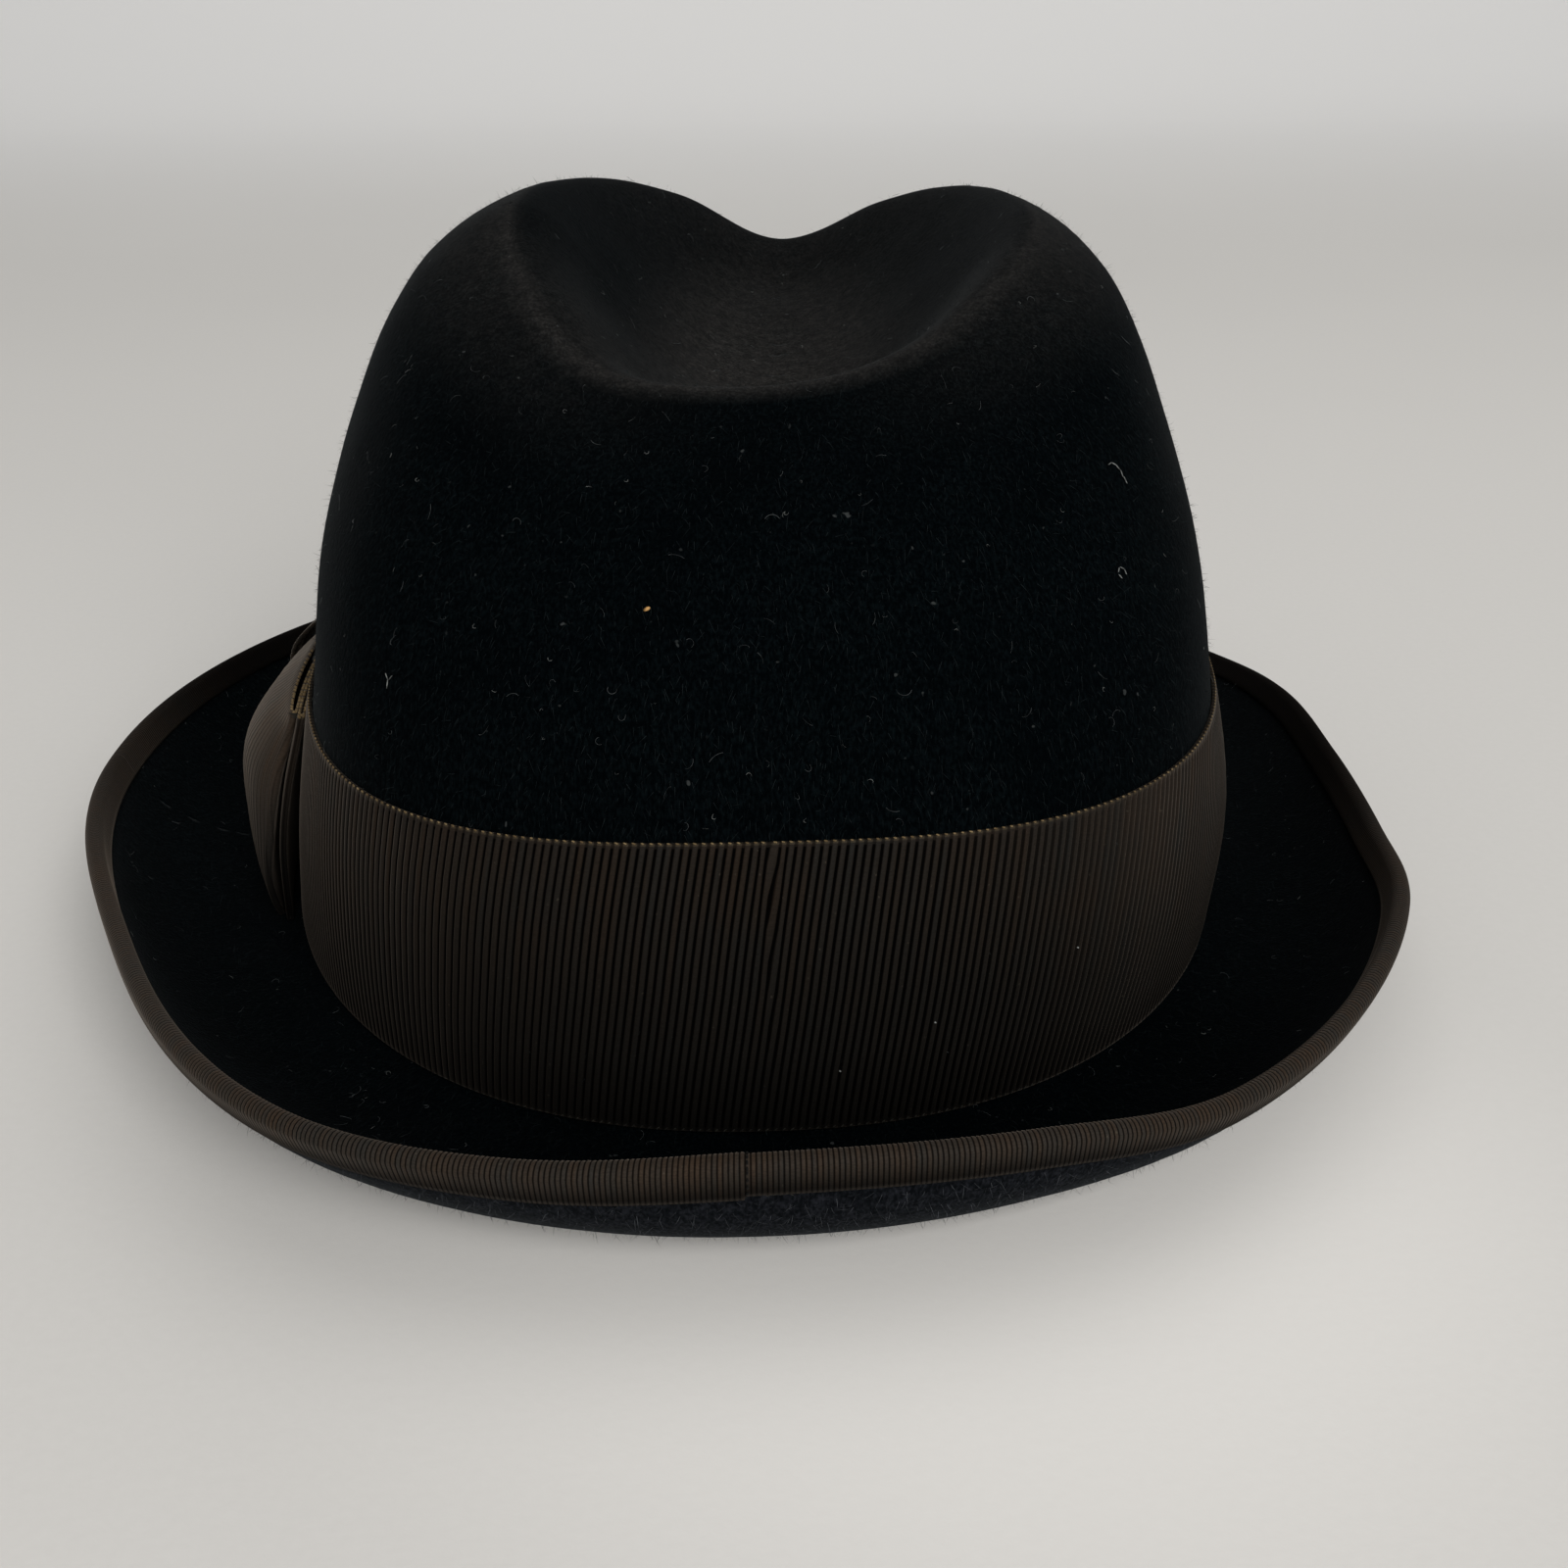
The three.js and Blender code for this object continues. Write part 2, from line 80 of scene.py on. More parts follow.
lights = {
    "overhead": {"at": (-0.3, -0.5, 1.9), "size": 2.0, "power": 7.0, "colour": (1.0, 0.99, 0.97)},
    "near": {"at": (-0.7, 2.3, 1.5), "size": 1.8, "power": 75.0, "colour": (1.0, 0.985, 0.96)},
}
room = {"strength": 0.36, "colour": (1.0, 0.99, 0.975)}


def addLights():
    for name, light in lights.items():
        data = bpy.data.lights.new(name, "AREA")
        data.shape = "SQUARE"
        data.size = light["size"]
        data.energy = light["power"]
        data.color = light["colour"]
        lamp = bpy.data.objects.new(name, data)
        bpy.context.scene.collection.objects.link(lamp)
        lamp.location = light["at"]
        lamp.rotation_mode = "QUATERNION"
        lamp.rotation_quaternion = Vector(light["at"]).to_track_quat("Z", "Y")
    world = bpy.data.worlds.new("room")
    world.use_nodes = True
    sky = world.node_tree.nodes["Background"]
    sky.inputs["Color"].default_value = (*room["colour"], 1)
    sky.inputs["Strength"].default_value = room["strength"]
    bpy.context.scene.world = world
    bpy.context.scene.view_settings.view_transform = "Standard"


# Materials

class Tone:
    # a socket that can stand in a sum
    def __init__(self, nodes, socket):
        self.nodes = nodes
        self.socket = socket

    def __add__(self, other):
        return self.nodes.sum("ADD", self, other)

    def __sub__(self, other):
        return self.nodes.sum("SUBTRACT", self, other)

    def __mul__(self, other):
        return self.nodes.sum("MULTIPLY", self, other)

    def __radd__(self, other):
        return self.nodes.sum("ADD", other, self)

    def __rsub__(self, other):
        return self.nodes.sum("SUBTRACT", other, self)

    def __rmul__(self, other):
        return self.nodes.sum("MULTIPLY", other, self)


class Nodes:
    def __init__(self, tree):
        self.tree = tree

    def add(self, kind, settings=None, values=None, out=0):
        node = self.tree.nodes.new(kind)
        for key, setting in (settings or {}).items():
            setattr(node, key, setting)
        for key, value in (values or {}).items():
            socket = self.find(node.inputs, key)
            if isinstance(value, Tone):
                self.tree.links.new(value.socket, socket)
            elif socket.type == "RGBA":
                socket.default_value = (*value, 1)
            else:
                socket.default_value = value
        return Tone(self, self.find(node.outputs, out)) if node.outputs else None

    def sum(self, operation, first, second=0.0):
        return self.add("ShaderNodeMath", {"operation": operation}, {0: first, 1: second})

    def find(self, sockets, key):
        if isinstance(key, int):
            return sockets[key]
        return next(s for s in sockets if key in (s.identifier, s.name))


class Finish(Nodes):
    def __init__(self, name):
        self.material = bpy.data.materials.new(name)
        self.material.use_nodes = True
        super().__init__(self.material.node_tree)
        self.tree.nodes.clear()

    def between(self, value, low, high):
        # 0 below low, 1 above high, smooth between
        return self.add("ShaderNodeMapRange", {"interpolation_type": "SMOOTHSTEP"},
                        {"Value": value, "From Min": low, "From Max": high})

    def blend(self, factor, first, second):
        return self.add("ShaderNodeMix", {"data_type": "RGBA"},
                        {"Factor_Float": factor, "A_Color": first, "B_Color": second}, "Result_Color")

    def place(self, stretch=(1, 1, 1)):
        where = self.add("ShaderNodeTexCoord", out="Object")
        return self.add("ShaderNodeMapping", values={"Vector": where, "Scale": stretch})

    def cloth(self, stretch):
        flat = self.add("ShaderNodeUVMap", {"uv_map": "cloth"})
        return self.add("ShaderNodeMapping", values={"Vector": flat, "Scale": stretch})

    def axis(self, vector, name):
        return self.add("ShaderNodeSeparateXYZ", values={"Vector": vector}, out=name)

    def speckle(self, where, scale, detail=2.0, roughness=0.5):
        # scale is in cells per metre
        return self.add("ShaderNodeTexNoise", values={"Vector": where, "Scale": scale, "Detail": detail,
                                                      "Roughness": roughness})

    def relief(self, height, distance, strength):
        return self.add("ShaderNodeBump", values={"Height": height, "Distance": distance,
                                                  "Strength": strength})

    def coat(self, values):
        return self.add("ShaderNodeBsdfPrincipled", values=values)

    def done(self, surface):
        self.add("ShaderNodeOutputMaterial", values={"Surface": surface})
        return self.material


def towards(share, low, high):
    return low + share * (high - low)


feltLook = {
    "deep": (0.0001, 0.0005, 0.0008),
    "nap": (0.0016, 0.0030, 0.0036),
    "wornAndRimHighlight": (0.0290, 0.0275, 0.0262),
    "under": (0.0120, 0.0130, 0.0165),
    "lint": (0.05, 0.055, 0.055),
    "tint": (0.85, 0.95, 1.0),
    "specular": 0.012,
    "sheen": 0.02,
    "sheenRoughness": 0.35,
    "reliefDepth": 0.00035,
    # grains per metre
    "fine": 2300.0,
    "pile": 1300.0,
    "spots": 820.0,
    "mottle": 520.0,
    "crowd": 120.0,
    "patch": 55.0,
    "clouds": 16.0,
}


def makeFeltFinish(name, underside):
    felt = Finish(name)
    where = felt.place()
    fine = felt.speckle(felt.place((1.0, 1.0, 0.3)), feltLook["fine"], 2.0, 0.6)
    pile = felt.speckle(where, feltLook["pile"], 3.0, 0.6)
    patch = felt.speckle(where, feltLook["patch"], 4.0, 0.6)
    clouds = felt.speckle(where, feltLook["clouds"])
    streak = felt.between(fine * 0.65 + pile * 0.35, 0.40, 0.70)
    mottle = felt.between(felt.speckle(where, feltLook["mottle"], 3.0, 0.65), 0.35, 0.68)
    lively = streak * (felt.between(patch * 0.6 + clouds * 0.4, 0.30, 0.62) * 0.9 + 0.15)
    colour = felt.blend(lively, feltLook["deep"], feltLook["nap"])
    if underside:
        colour = felt.blend((0.2 + streak * 0.8) * (0.6 + mottle * 0.5), colour, feltLook["under"])
    else:
        # dust and wear, and the painted highlight along the crease's rim
        wornAndRimHighlight = felt.add("ShaderNodeAttribute", {"attribute_name": "wornAndRimHighlight"}, out="Fac")
        wearAndHighlightGrain = (0.42 + streak * 0.50) * (0.70 + mottle * 0.45)
        colour = felt.blend(wornAndRimHighlight * wearAndHighlightGrain, colour, feltLook["wornAndRimHighlight"])
    spots = felt.between(felt.speckle(where, feltLook["spots"], 1.0), 0.735, 0.80)
    crowd = felt.between(felt.speckle(where, feltLook["crowd"]), 0.46, 0.66)
    colour = felt.blend(spots * crowd * 0.5, colour, feltLook["lint"])
    height = pile * 0.6 + fine * 0.6 + patch * 0.5
    return felt.done(felt.coat({
        "Base Color": colour,
        "Roughness": 0.95,
        "Specular IOR Level": feltLook["specular"],
        "Sheen Weight": feltLook["sheen"],
        "Sheen Roughness": feltLook["sheenRoughness"],
        "Sheen Tint": feltLook["tint"],
        "Normal": felt.relief(height, feltLook["reliefDepth"], 0.55),
    }))


def makeFibreFinish(name, colour):
    fibre = Finish(name)
    tone = fibre.speckle(fibre.place(), 900.0, 1.0, 0.5)
    shade = tuple(c * 0.35 for c in colour)
    return fibre.done(fibre.coat({
        "Base Color": fibre.blend(fibre.between(tone, 0.35, 0.65), shade, colour),
        "Roughness": 0.9,
        "Specular IOR Level": 0.1,
    }))


ribbonLook = {
    "warm": (0.0138, 0.0090, 0.0058),
    "cool": (0.0084, 0.0080, 0.0071),
    # near-black: the colour of the painted shadow, and also of the dark between threads
    "groove": (0.0004, 0.0003, 0.0003),
    "selvedge": (0.040, 0.031, 0.019),
    "dust": (0.07, 0.06, 0.045),
    "tint": (1.0, 0.84, 0.70),
    "specular": 0.05,
    "sheen": 0.13,
    "sheenRoughness": 0.4,
    "reliefDepth": 0.00012,
    # millimetres in from an edge where its pale line fades out
    "lineFade": (0.25, 0.42),
    # grains per metre
    "threads": 5200.0,
    "specks": 1500.0,
    "patch": 70.0,
}


def makeRibbonFinish(name, ribPitch, across, look):
    # v on the map runs from one selvedge of the ribbon to the other
    ribbon = Finish(name)
    where = ribbon.place()
    width = across * 0.001
    flat = ribbon.add("ShaderNodeUVMap", {"uv_map": "cloth"})
    v = ribbon.axis(flat, "Y")
    back = ribbon.between(ribbon.axis(where, "Y") + ribbon.axis(where, "X") * 0.2, *look["backFrom"])

    ribs = ribbon.axis(flat, "X") * (1000 / ribPitch)
    phase = ribbon.sum("ABSOLUTE", ribbon.sum("FRACT", ribs) - 0.5)
    # painted shade in the grooves between the ribs
    groove = ribbon.between(phase, *look["groove"])
    single = ribbon.add("ShaderNodeTexWhiteNoise", {"noise_dimensions": "1D"},
                        {"W": ribbon.sum("FLOOR", ribs)})
    threads = ribbon.speckle(ribbon.cloth((0.25, 1.0, 1.0)), ribbonLook["threads"], 2.0, 0.6)
    slubs = ribbon.speckle(ribbon.cloth((1.0, 0.05, 1.0)), 1000 / ribPitch)
    patch = ribbon.speckle(where, ribbonLook["patch"], 3.0, 0.55)

    warm = tuple(c * look["brightness"] for c in ribbonLook["warm"])
    cool = tuple(c * look["brightness"] for c in ribbonLook["cool"])
    lift = towards(ribbon.between(v, 0.0, width), *look["warmth"])
    varied = ribbon.between(single * 0.15 + slubs * 0.35 + patch * 0.5, 0.25, 0.75)
    tone = ribbon.blend(varied * lift, cool, warm)
    tone = ribbon.blend(ribbon.between(threads, 0.35, 0.7) * 0.35, tone, ribbonLook["groove"])

    inset = ribbon.sum("MINIMUM", v, width - v) * 1000
    edge = 1.0 - ribbon.between(inset, look["selvedge"] * 0.8, look["selvedge"])
    line = 1.0 - ribbon.between(inset, *ribbonLook["lineFade"])
    line = line * towards(ribbon.between(v, width * 0.45, width * 0.55), *look["line"])
    tone = ribbon.blend(line * (0.15 + (1.0 - groove) * 0.45), tone, ribbonLook["selvedge"])
    dust = ribbon.between(ribbon.speckle(where, ribbonLook["specks"], 1.0), 0.75, 0.80)
    tone = ribbon.blend(dust * 0.35, tone, ribbonLook["dust"])

    # painted shade: the surface mixes toward the dark shadow surface in the grooves (less on the sides),
    # towards its lower edge, on the sides away from the back and on the cut edge
    hollow = groove * (1.0 - edge * 0.5) * towards(back, look["sideContrast"], look["contrast"])
    low = (1.0 - ribbon.between(v, *look["shadeFrom"])) * look["shade"]
    # what lies past the outer face is the ribbon's cut edge and back, painted in shade
    outer = 1.0 - ribbon.between(v, width, width + 0.0002) * 0.7
    dark = 1.0 - (1.0 - hollow) * (1.0 - low) * (1.0 - (1.0 - back) * look["sideShade"]) * outer
    rib = ribbon.coat({
        "Base Color": tone,
        "Roughness": 0.62,
        "Specular IOR Level": ribbonLook["specular"],
        "Sheen Weight": ribbonLook["sheen"],
        "Sheen Roughness": ribbonLook["sheenRoughness"],
        "Sheen Tint": ribbonLook["tint"],
        "Normal": ribbon.relief(threads * 0.5 - groove, ribbonLook["reliefDepth"], 0.6),
    })
    shadow = ribbon.coat({"Base Color": ribbonLook["groove"], "Roughness": 0.9, "Specular IOR Level": 0.02})
    return ribbon.done(ribbon.add("ShaderNodeMixShader", values={0: dark, 1: rib, 2: shadow}))


def makeThreadFinish(name, colour, shade):
    thread = Finish(name)
    twist = thread.speckle(thread.place(), 4200.0, 2.0, 0.6)
    rubbed = thread.between(thread.speckle(thread.place(), 420.0, 2.0, 0.6), 0.36, 0.60)
    return thread.done(thread.coat({
        "Base Color": thread.blend(thread.between(twist, 0.3, 0.7) * (0.15 + rubbed * 0.85), shade, colour),
        "Roughness": 0.7,
        "Specular IOR Level": 0.1,
        "Sheen Weight": 0.02,
        "Normal": thread.relief(twist, 0.00008, 0.5),
    }))


tableLook = {
    "darker": (0.60, 0.590, 0.572),
    "paler": (0.66, 0.650, 0.632),
    # a paler pool of painted light round a place under the back of the brim, where the hat's shadow falls,
    # and painted light on the far part, which fades to white, in metres
    "paintedLightPool": (0.90, 0.885, 0.86),
    "paintedLightPoolAt": (-0.03, 0.10, 0.0),
    "paintedLightPoolFade": (0.045, 0.11),
    "far": (0.95, 0.95, 0.95),
    "farFrom": (0.6, 1.9),
}


def makeTableFinish():
    table = Finish("table")
    where = table.place()
    grain = table.speckle(where, 600.0, 3.0, 0.6)
    broad = table.speckle(where, 3.0)
    tone = table.blend(grain * 0.5 + broad * 0.5, tableLook["darker"], tableLook["paler"])
    # painted light: a paler pool on the table under the back of the brim, against the hat's shadow there
    reach = table.add("ShaderNodeVectorMath", {"operation": "DISTANCE"},
                      {0: where, 1: tableLook["paintedLightPoolAt"]}, "Value")
    paintedLightPool = 1.0 - table.between(reach, *tableLook["paintedLightPoolFade"])
    tone = table.blend(paintedLightPool * 0.4, tone, tableLook["paintedLightPool"])
    # painted light: the far part of the table and the backdrop it bends up into are painted paler
    far = table.between(0.0 - table.axis(where, "Y"), *tableLook["farFrom"])
    tone = table.blend(far * 0.85, tone, tableLook["far"])
    return table.done(table.coat({
        "Base Color": tone,
        "Roughness": 0.85,
        "Specular IOR Level": 0.2,
        "Normal": table.relief(grain, 0.0001, 0.3),
    }))


# Shape of the hat

class Curve:
    # a smooth curve through (key, value) rows; with a round it joins up again
    def __init__(self, rows, round=0):
        keys = [row[0] for row in rows]
        values = [row[1] for row in rows]
        self.first = keys[0]
        self.round = round
        if round:
            keys = [k - round for k in keys[-2:]] + keys + [k + round for k in keys[:2]]
            values = values[-2:] + values + values[:2]
        self.keys = keys
        self.values = values
        last = len(keys) - 1
        self.slopes = [(values[min(i + 1, last)] - values[max(i - 1, 0)])
                       / (keys[min(i + 1, last)] - keys[max(i - 1, 0)]) for i in range(last + 1)]

    def __call__(self, at):
        if self.round:
            at = (at - self.first) % self.round + self.first
        at = min(max(at, self.keys[0]), self.keys[-1])
        i = min(max(bisect_right(self.keys, at) - 1, 0), len(self.keys) - 2)
        step = self.keys[i + 1] - self.keys[i]
        u = (at - self.keys[i]) / step
        rise = u * u * (3 - 2 * u)
        return (self.values[i] * (1 - rise) + self.values[i + 1] * rise
                + u * (1 - u) * (1 - u) * step * self.slopes[i] + u * u * (u - 1) * step * self.slopes[i + 1])


crown = {
    "halfWidth": 85.0,
    "back": 94.0,
    "front": 98.0,
    "height": 121.0,
    "breakLift": 2.4,
    "creaseHalfWidth": 43.0,
    "creaseBack": 50.5,
    "creaseFront": 72.0,
    "creaseShift": -5.0,
    "creaseTwist": 4.2,
    "creaseSquare": Curve([(0, 2.0), (25, 2.1), (50, 2.5), (70, 2.3), (90, 2.0), (180, 2.0),
                           (270, 2.0)], 360),
    "fullSide": 1.6,
    "floorHeight": 88.0,
    "floorRise": 9.0,
    "spine": 0.5,
    # rows by share of the height
    "side": Curve([(0, 0), (0.2, 0.09), (0.4, 0.205), (0.6, 0.29), (0.75, 0.41), (0.87, 0.555), (0.95, 0.74),
                   (1, 1)]),
    "end": Curve([(0, 0), (0.2, 0.056), (0.4, 0.125), (0.6, 0.243), (0.75, 0.405), (0.87, 0.61), (0.95, 0.83),
                  (1, 1)]),
    "square": Curve([(0, 2.16), (0.2, 2.56), (0.4, 2.96), (0.6, 3.0), (0.75, 2.8), (0.87, 2.66), (0.95, 2.56),
                     (1, 2.5)]),
    # height of the ridge by turn, 0 at the wearer's left and 90 at the back
    "ridge": Curve([(0, 1.0), (30, 0.93), (60, 0.843), (90, 0.833), (120, 0.868), (150, 0.94), (180, 0.983),
                    (210, 0.983), (240, 0.936), (270, 0.862), (300, 0.951), (330, 1.0)], 360),
    # rows from the rim of the crease to its floor
    "inward": Curve([(0, 0), (0.2, 0.12), (0.4, 0.28), (0.6, 0.48), (0.8, 0.7), (1, 1)]),
    "drop": Curve([(0, 0), (0.2, 0.09), (0.4, 0.35), (0.6, 0.68), (0.8, 0.91), (0.93, 0.99), (1, 1)]),
}

brim = {
    "wall": 1.8,
    "curl": 1.6,
    # by turn: the width, and the slope in degrees at the crown and at the edge
    "width": Curve([(0, 42.6), (30, 40.5), (60, 46.3), (75, 45.5), (90, 45.8), (105, 44.2), (120, 40.8),
                    (150, 38.6), (165, 33.5), (180, 33.0), (195, 36.4), (210, 38.9), (240, 41.2), (270, 42.5),
                    (300, 42.6), (330, 42.2)], 360),
    "root": Curve([(0, -1.3), (30, -3.3), (60, 1.0), (75, -2.6), (90, -5.0), (105, -3.5), (120, -3.0),
                   (150, 0.2), (165, -2.0), (180, -3.0), (195, -3.2), (210, -4.0), (240, -4.2), (270, -3.9),
                   (300, -2.5), (330, -1.2)], 360),
    "edge": Curve([(0, 71), (30, 91), (60, 74), (75, 83), (90, 96), (105, 90), (120, 74), (150, 75.7),
                   (165, 71.8), (180, 68.5), (195, 55), (210, 38), (240, 28), (270, 30), (300, 50),
                   (330, 61)], 360),
}


def ease(value, low, high):
    t = min(max((value - low) / (high - low), 0), 1)
    return t * t * (3 - 2 * t)


def outline(turn, halfWidth, back, front, square):
    c = math.cos(math.radians(turn))
    s = math.sin(math.radians(turn))
    reach = back if s > 0 else front
    power = 2 / square
    return math.copysign(abs(c) ** power, c) * halfWidth, math.copysign(abs(s) ** power, s) * reach


def breakHeight(turn):
    return crown["breakLift"] * abs(math.cos(math.radians(turn))) ** 2.6


def ridgeHeight(turn):
    return crown["height"] * crown["ridge"](turn)


def creaseMiddle(y):
    return crown["creaseShift"] + crown["creaseTwist"] * y / crown["creaseFront"]


def creaseRim(turn):
    x, y = outline(turn, crown["creaseHalfWidth"], crown["creaseBack"], crown["creaseFront"],
                   crown["creaseSquare"](turn))
    return x + creaseMiddle(y), y


def crownPoint(turn, share):
    x, y = outline(turn, crown["halfWidth"], crown["back"], crown["front"], crown["square"](share))
    rimX, rimY = creaseRim(turn)
    sideways = math.cos(math.radians(turn)) ** 2
    inward = crown["side"](share) * sideways + crown["end"](share) * (1 - sideways)
    foot = breakHeight(turn)
    # the wearer's right side is a little fuller
    full = max(-math.cos(math.radians(turn)), 0) * ease(share, 0, 0.22) * (1 - ease(share, 0.4, 0.8))
    x -= crown["fullSide"] * full
    rise = foot + (ridgeHeight(turn) - foot) * share
    return Vector((x + (rimX - x) * inward, y + (rimY - y) * inward, rise))


def creasePoint(turn, depth):
    rimX, rimY = creaseRim(turn)
    middle = (crown["creaseBack"] - crown["creaseFront"]) / 2
    floorY = middle + (rimY - middle) * crown["spine"]
    frontEnd = middle - crown["creaseFront"] * crown["spine"]
    floorZ = crown["floorHeight"] + crown["floorRise"] * min(max(floorY / frontEnd, 0), 1)
    rimZ = ridgeHeight(turn)
    inward = crown["inward"](depth)
    drop = crown["drop"](depth)
    return Vector((rimX + (creaseMiddle(floorY) - rimX) * inward, rimY + (floorY - rimY) * inward,
                   rimZ + (floorZ - rimZ) * drop))


def brimDirection(turn):
    square = crown["square"](0)
    x, y = outline(turn, crown["halfWidth"], crown["back"], crown["front"], square)
    reach = crown["back"] if y > 0 else crown["front"]
    across = math.copysign(abs(x / crown["halfWidth"]) ** (square - 1), x) / crown["halfWidth"]
    lengthways = math.copysign(abs(y / reach) ** (square - 1), y) / reach
    return Vector((across, lengthways)).normalized()


def brimFrame(turn, distance):
    # a point on the brim's upper side, the way along the felt and the way out of its upper side
    width = brim["width"](turn)
    root = math.radians(brim["root"](turn))
    edge = math.radians(brim["edge"](turn))
    pieces = 20
    out = 0
    up = 0
    for k in range(pieces):
        slope = root + (edge - root) * ((k + 0.5) / pieces * distance / width) ** brim["curl"]
        out += distance / pieces * math.cos(slope)
        up += distance / pieces * math.sin(slope)
    slope = root + (edge - root) * max(distance / width, 0) ** brim["curl"]
    away = brimDirection(turn)
    start = crownPoint(turn, 0)
    point = Vector((start.x + away.x * out, start.y + away.y * out, start.z + up))
    tangent = Vector((away.x * math.cos(slope), away.y * math.cos(slope), math.sin(slope)))
    normal = Vector((-away.x * math.sin(slope), -away.y * math.sin(slope), math.cos(slope)))
    return point, tangent, normal


def wallFrame(turn, rise):
    # a point on the crown's outside at a height above the brim break, and the way out
    share = rise / (ridgeHeight(turn) - breakHeight(turn))
    point = crownPoint(turn, share)
    around = crownPoint(turn + 0.5, share) - crownPoint(turn - 0.5, share)
    upward = crownPoint(turn, share + 0.01) - point
    return point, around.cross(upward).normalized()


def wallPoint(turn, rise, offset):
    point, normal = wallFrame(turn, rise)
    return point + normal * offset


def lineLengths(points):
    run = [0.0]
    for a, b in zip(points, points[1:]):
        run.append(run[-1] + (b - a).length)
    return run


def evenPlaces(points, count):
    # even places along a line, as (point before, share of the way to the next), and the line's length
    run = lineLengths(points)
    places = []
    k = 0
    for i in range(count + 1):
        want = run[-1] * i / count
        while k < len(run) - 2 and run[k + 1] < want:
            k += 1
        places.append((k, (want - run[k]) / max(run[k + 1] - run[k], 1e-9)))
    return places, run[-1]


def evenTurns(count, line):
    # turns that are evenly spaced along a line round the hat, and the line's length
    fine = 1440
    places, length = evenPlaces([line(360 * k / fine) for k in range(fine + 1)], count)
    return [360 * (k + part) / fine for k, part in places], length


def turnAt(turns, share):
    # the turn at a share of the way round
    place = share * (len(turns) - 1)
    k = min(int(place), len(turns) - 2)
    return turns[k] + (turns[k + 1] - turns[k]) * (place - k)


def steps(low, high, count):
    return [low + (high - low) * k / count for k in range(count + 1)]


# Making pieces

def bentSheet(columns, across, length, bend, mark=None):
    # a flat sheet whose map is in real lengths, bent into shape
    # across gives the place of each row in millimetres
    sheet = bmesh.new()
    rows = len(across) - 1
    bmesh.ops.create_grid(sheet, x_segments=columns, y_segments=rows, size=0.5)
    cloth = sheet.loops.layers.uv.new("cloth")
    layer = sheet.verts.layers.float.new("wornAndRimHighlight") if mark else None
    cell = {v: (round((v.co.x + 0.5) * columns), round((v.co.y + 0.5) * rows)) for v in sheet.verts}
    for face in sheet.faces:
        face.smooth = True
        for loop in face.loops:
            column, row = cell[loop.vert]
            loop[cloth].uv = (column / columns * length * 0.001, across[row] * 0.001)
    for vert in sheet.verts:
        if mark:
            vert[layer] = mark(*cell[vert])
        vert.co = bend(*cell[vert])
    bmesh.ops.remove_doubles(sheet, verts=sheet.verts, dist=2e-6)
    return sheet


def asMesh(name, shape):
    data = bpy.data.meshes.new(name)
    shape.to_mesh(data)
    shape.free()
    return data


def addPiece(name, data, material, node=None):
    piece = bpy.data.objects.new(name, data)
    bpy.context.scene.collection.objects.link(piece)
    data.materials.append(material)
    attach(piece, "root")
    if node:
        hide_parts(node)
    return piece


def addWall(piece, thickness, offset):
    wall = piece.modifiers.new("wall", "SOLIDIFY")
    wall.thickness = thickness * 0.001
    wall.offset = offset
    return wall


# Felt body

body = {
    "columns": 288,
    "brimRows": 22,
    "wallRows": 40,
    "ridgeRows": 14,
    "creaseRows": 26,
    # share of the height from which the wall's rows stand closer, and the felt's length from edge to crease
    "closeFrom": 0.86,
    "across": 230,
    "unevenness": 0.45,
    "unevenFrom": (50, 60),
    # how often the ridge and the crease are smoothed, above which share of the height, how near the ridge's
    # own height, and where they begin and end from the crease's floor line to its rim
    "softening": 9,
    "softAbove": 0.6,
    "softNear": 0.93,
    "softRidge": 0.82,
    "softFloor": 0.75,
    # wear by turn, and by turn a painted highlight along the crease's rim
    "ridgeWear": Curve([(0, 0.5), (50, 0.2), (90, 0.0), (130, 0.2), (180, 0.55), (270, 0.3)], 360),
    "wallWear": Curve([(0, 0.05), (45, 0.45), (90, 0.85), (135, 0.6), (180, 0.25), (225, 0.3), (270, 0.35),
                       (315, 0.2)], 360),
    "frontFade": 0.4,
    "rimHighlight": Curve([(0, 0.3), (30, 0.7), (60, 0.95), (90, 1.0), (120, 0.9), (150, 0.5), (180, 0.2),
                      (270, 0)], 360),
}


def creaseFloorColumn(column, columns):
    # both halves of the crease meet in the same points of its floor line
    return (columns // 2 - column) % columns if columns // 4 < column < columns * 3 // 4 else column


def creasePlace(point):
    # the turn of the crease's rim that lies nearest, roughly, and 0 on its floor line to 1 at its rim
    across = (point.x - creaseMiddle(point.y)) / crown["creaseHalfWidth"]
    lengthways = point.y / (crown["creaseBack"] if point.y > 0 else crown["creaseFront"])
    return math.degrees(math.atan2(lengthways, across)), math.hypot(across, lengthways)


def wornAt(kind, share, turn):
    # dust and wear lie on the floor of the crease and, less, on the ridges; a painted highlight lies in a
    # thin line along the crease's rim
    if kind == "brim":
        return 0.0
    if kind == "wall":
        # wear on the ridge, and the painted highlight at the top of the wall along the crease's rim
        return (body["ridgeWear"](turn) * ease(share, 0.87, 1.0)
                + body["rimHighlight"](turn) * ease(share, 0.982, 1.0) * 0.6)
    floor = 1 - body["frontFade"] * max(-math.sin(math.radians(turn)), 0)
    deep = ease(share, 0.45, 0.85)
    # painted highlight in a thin line just inside the crease's rim
    line = body["rimHighlight"](turn) * (1 - ease(share, 0.0, 0.10)) * 0.6
    return body["wallWear"](turn) * (1 - deep) * ease(share, -0.1, 0.12) + floor * deep + line


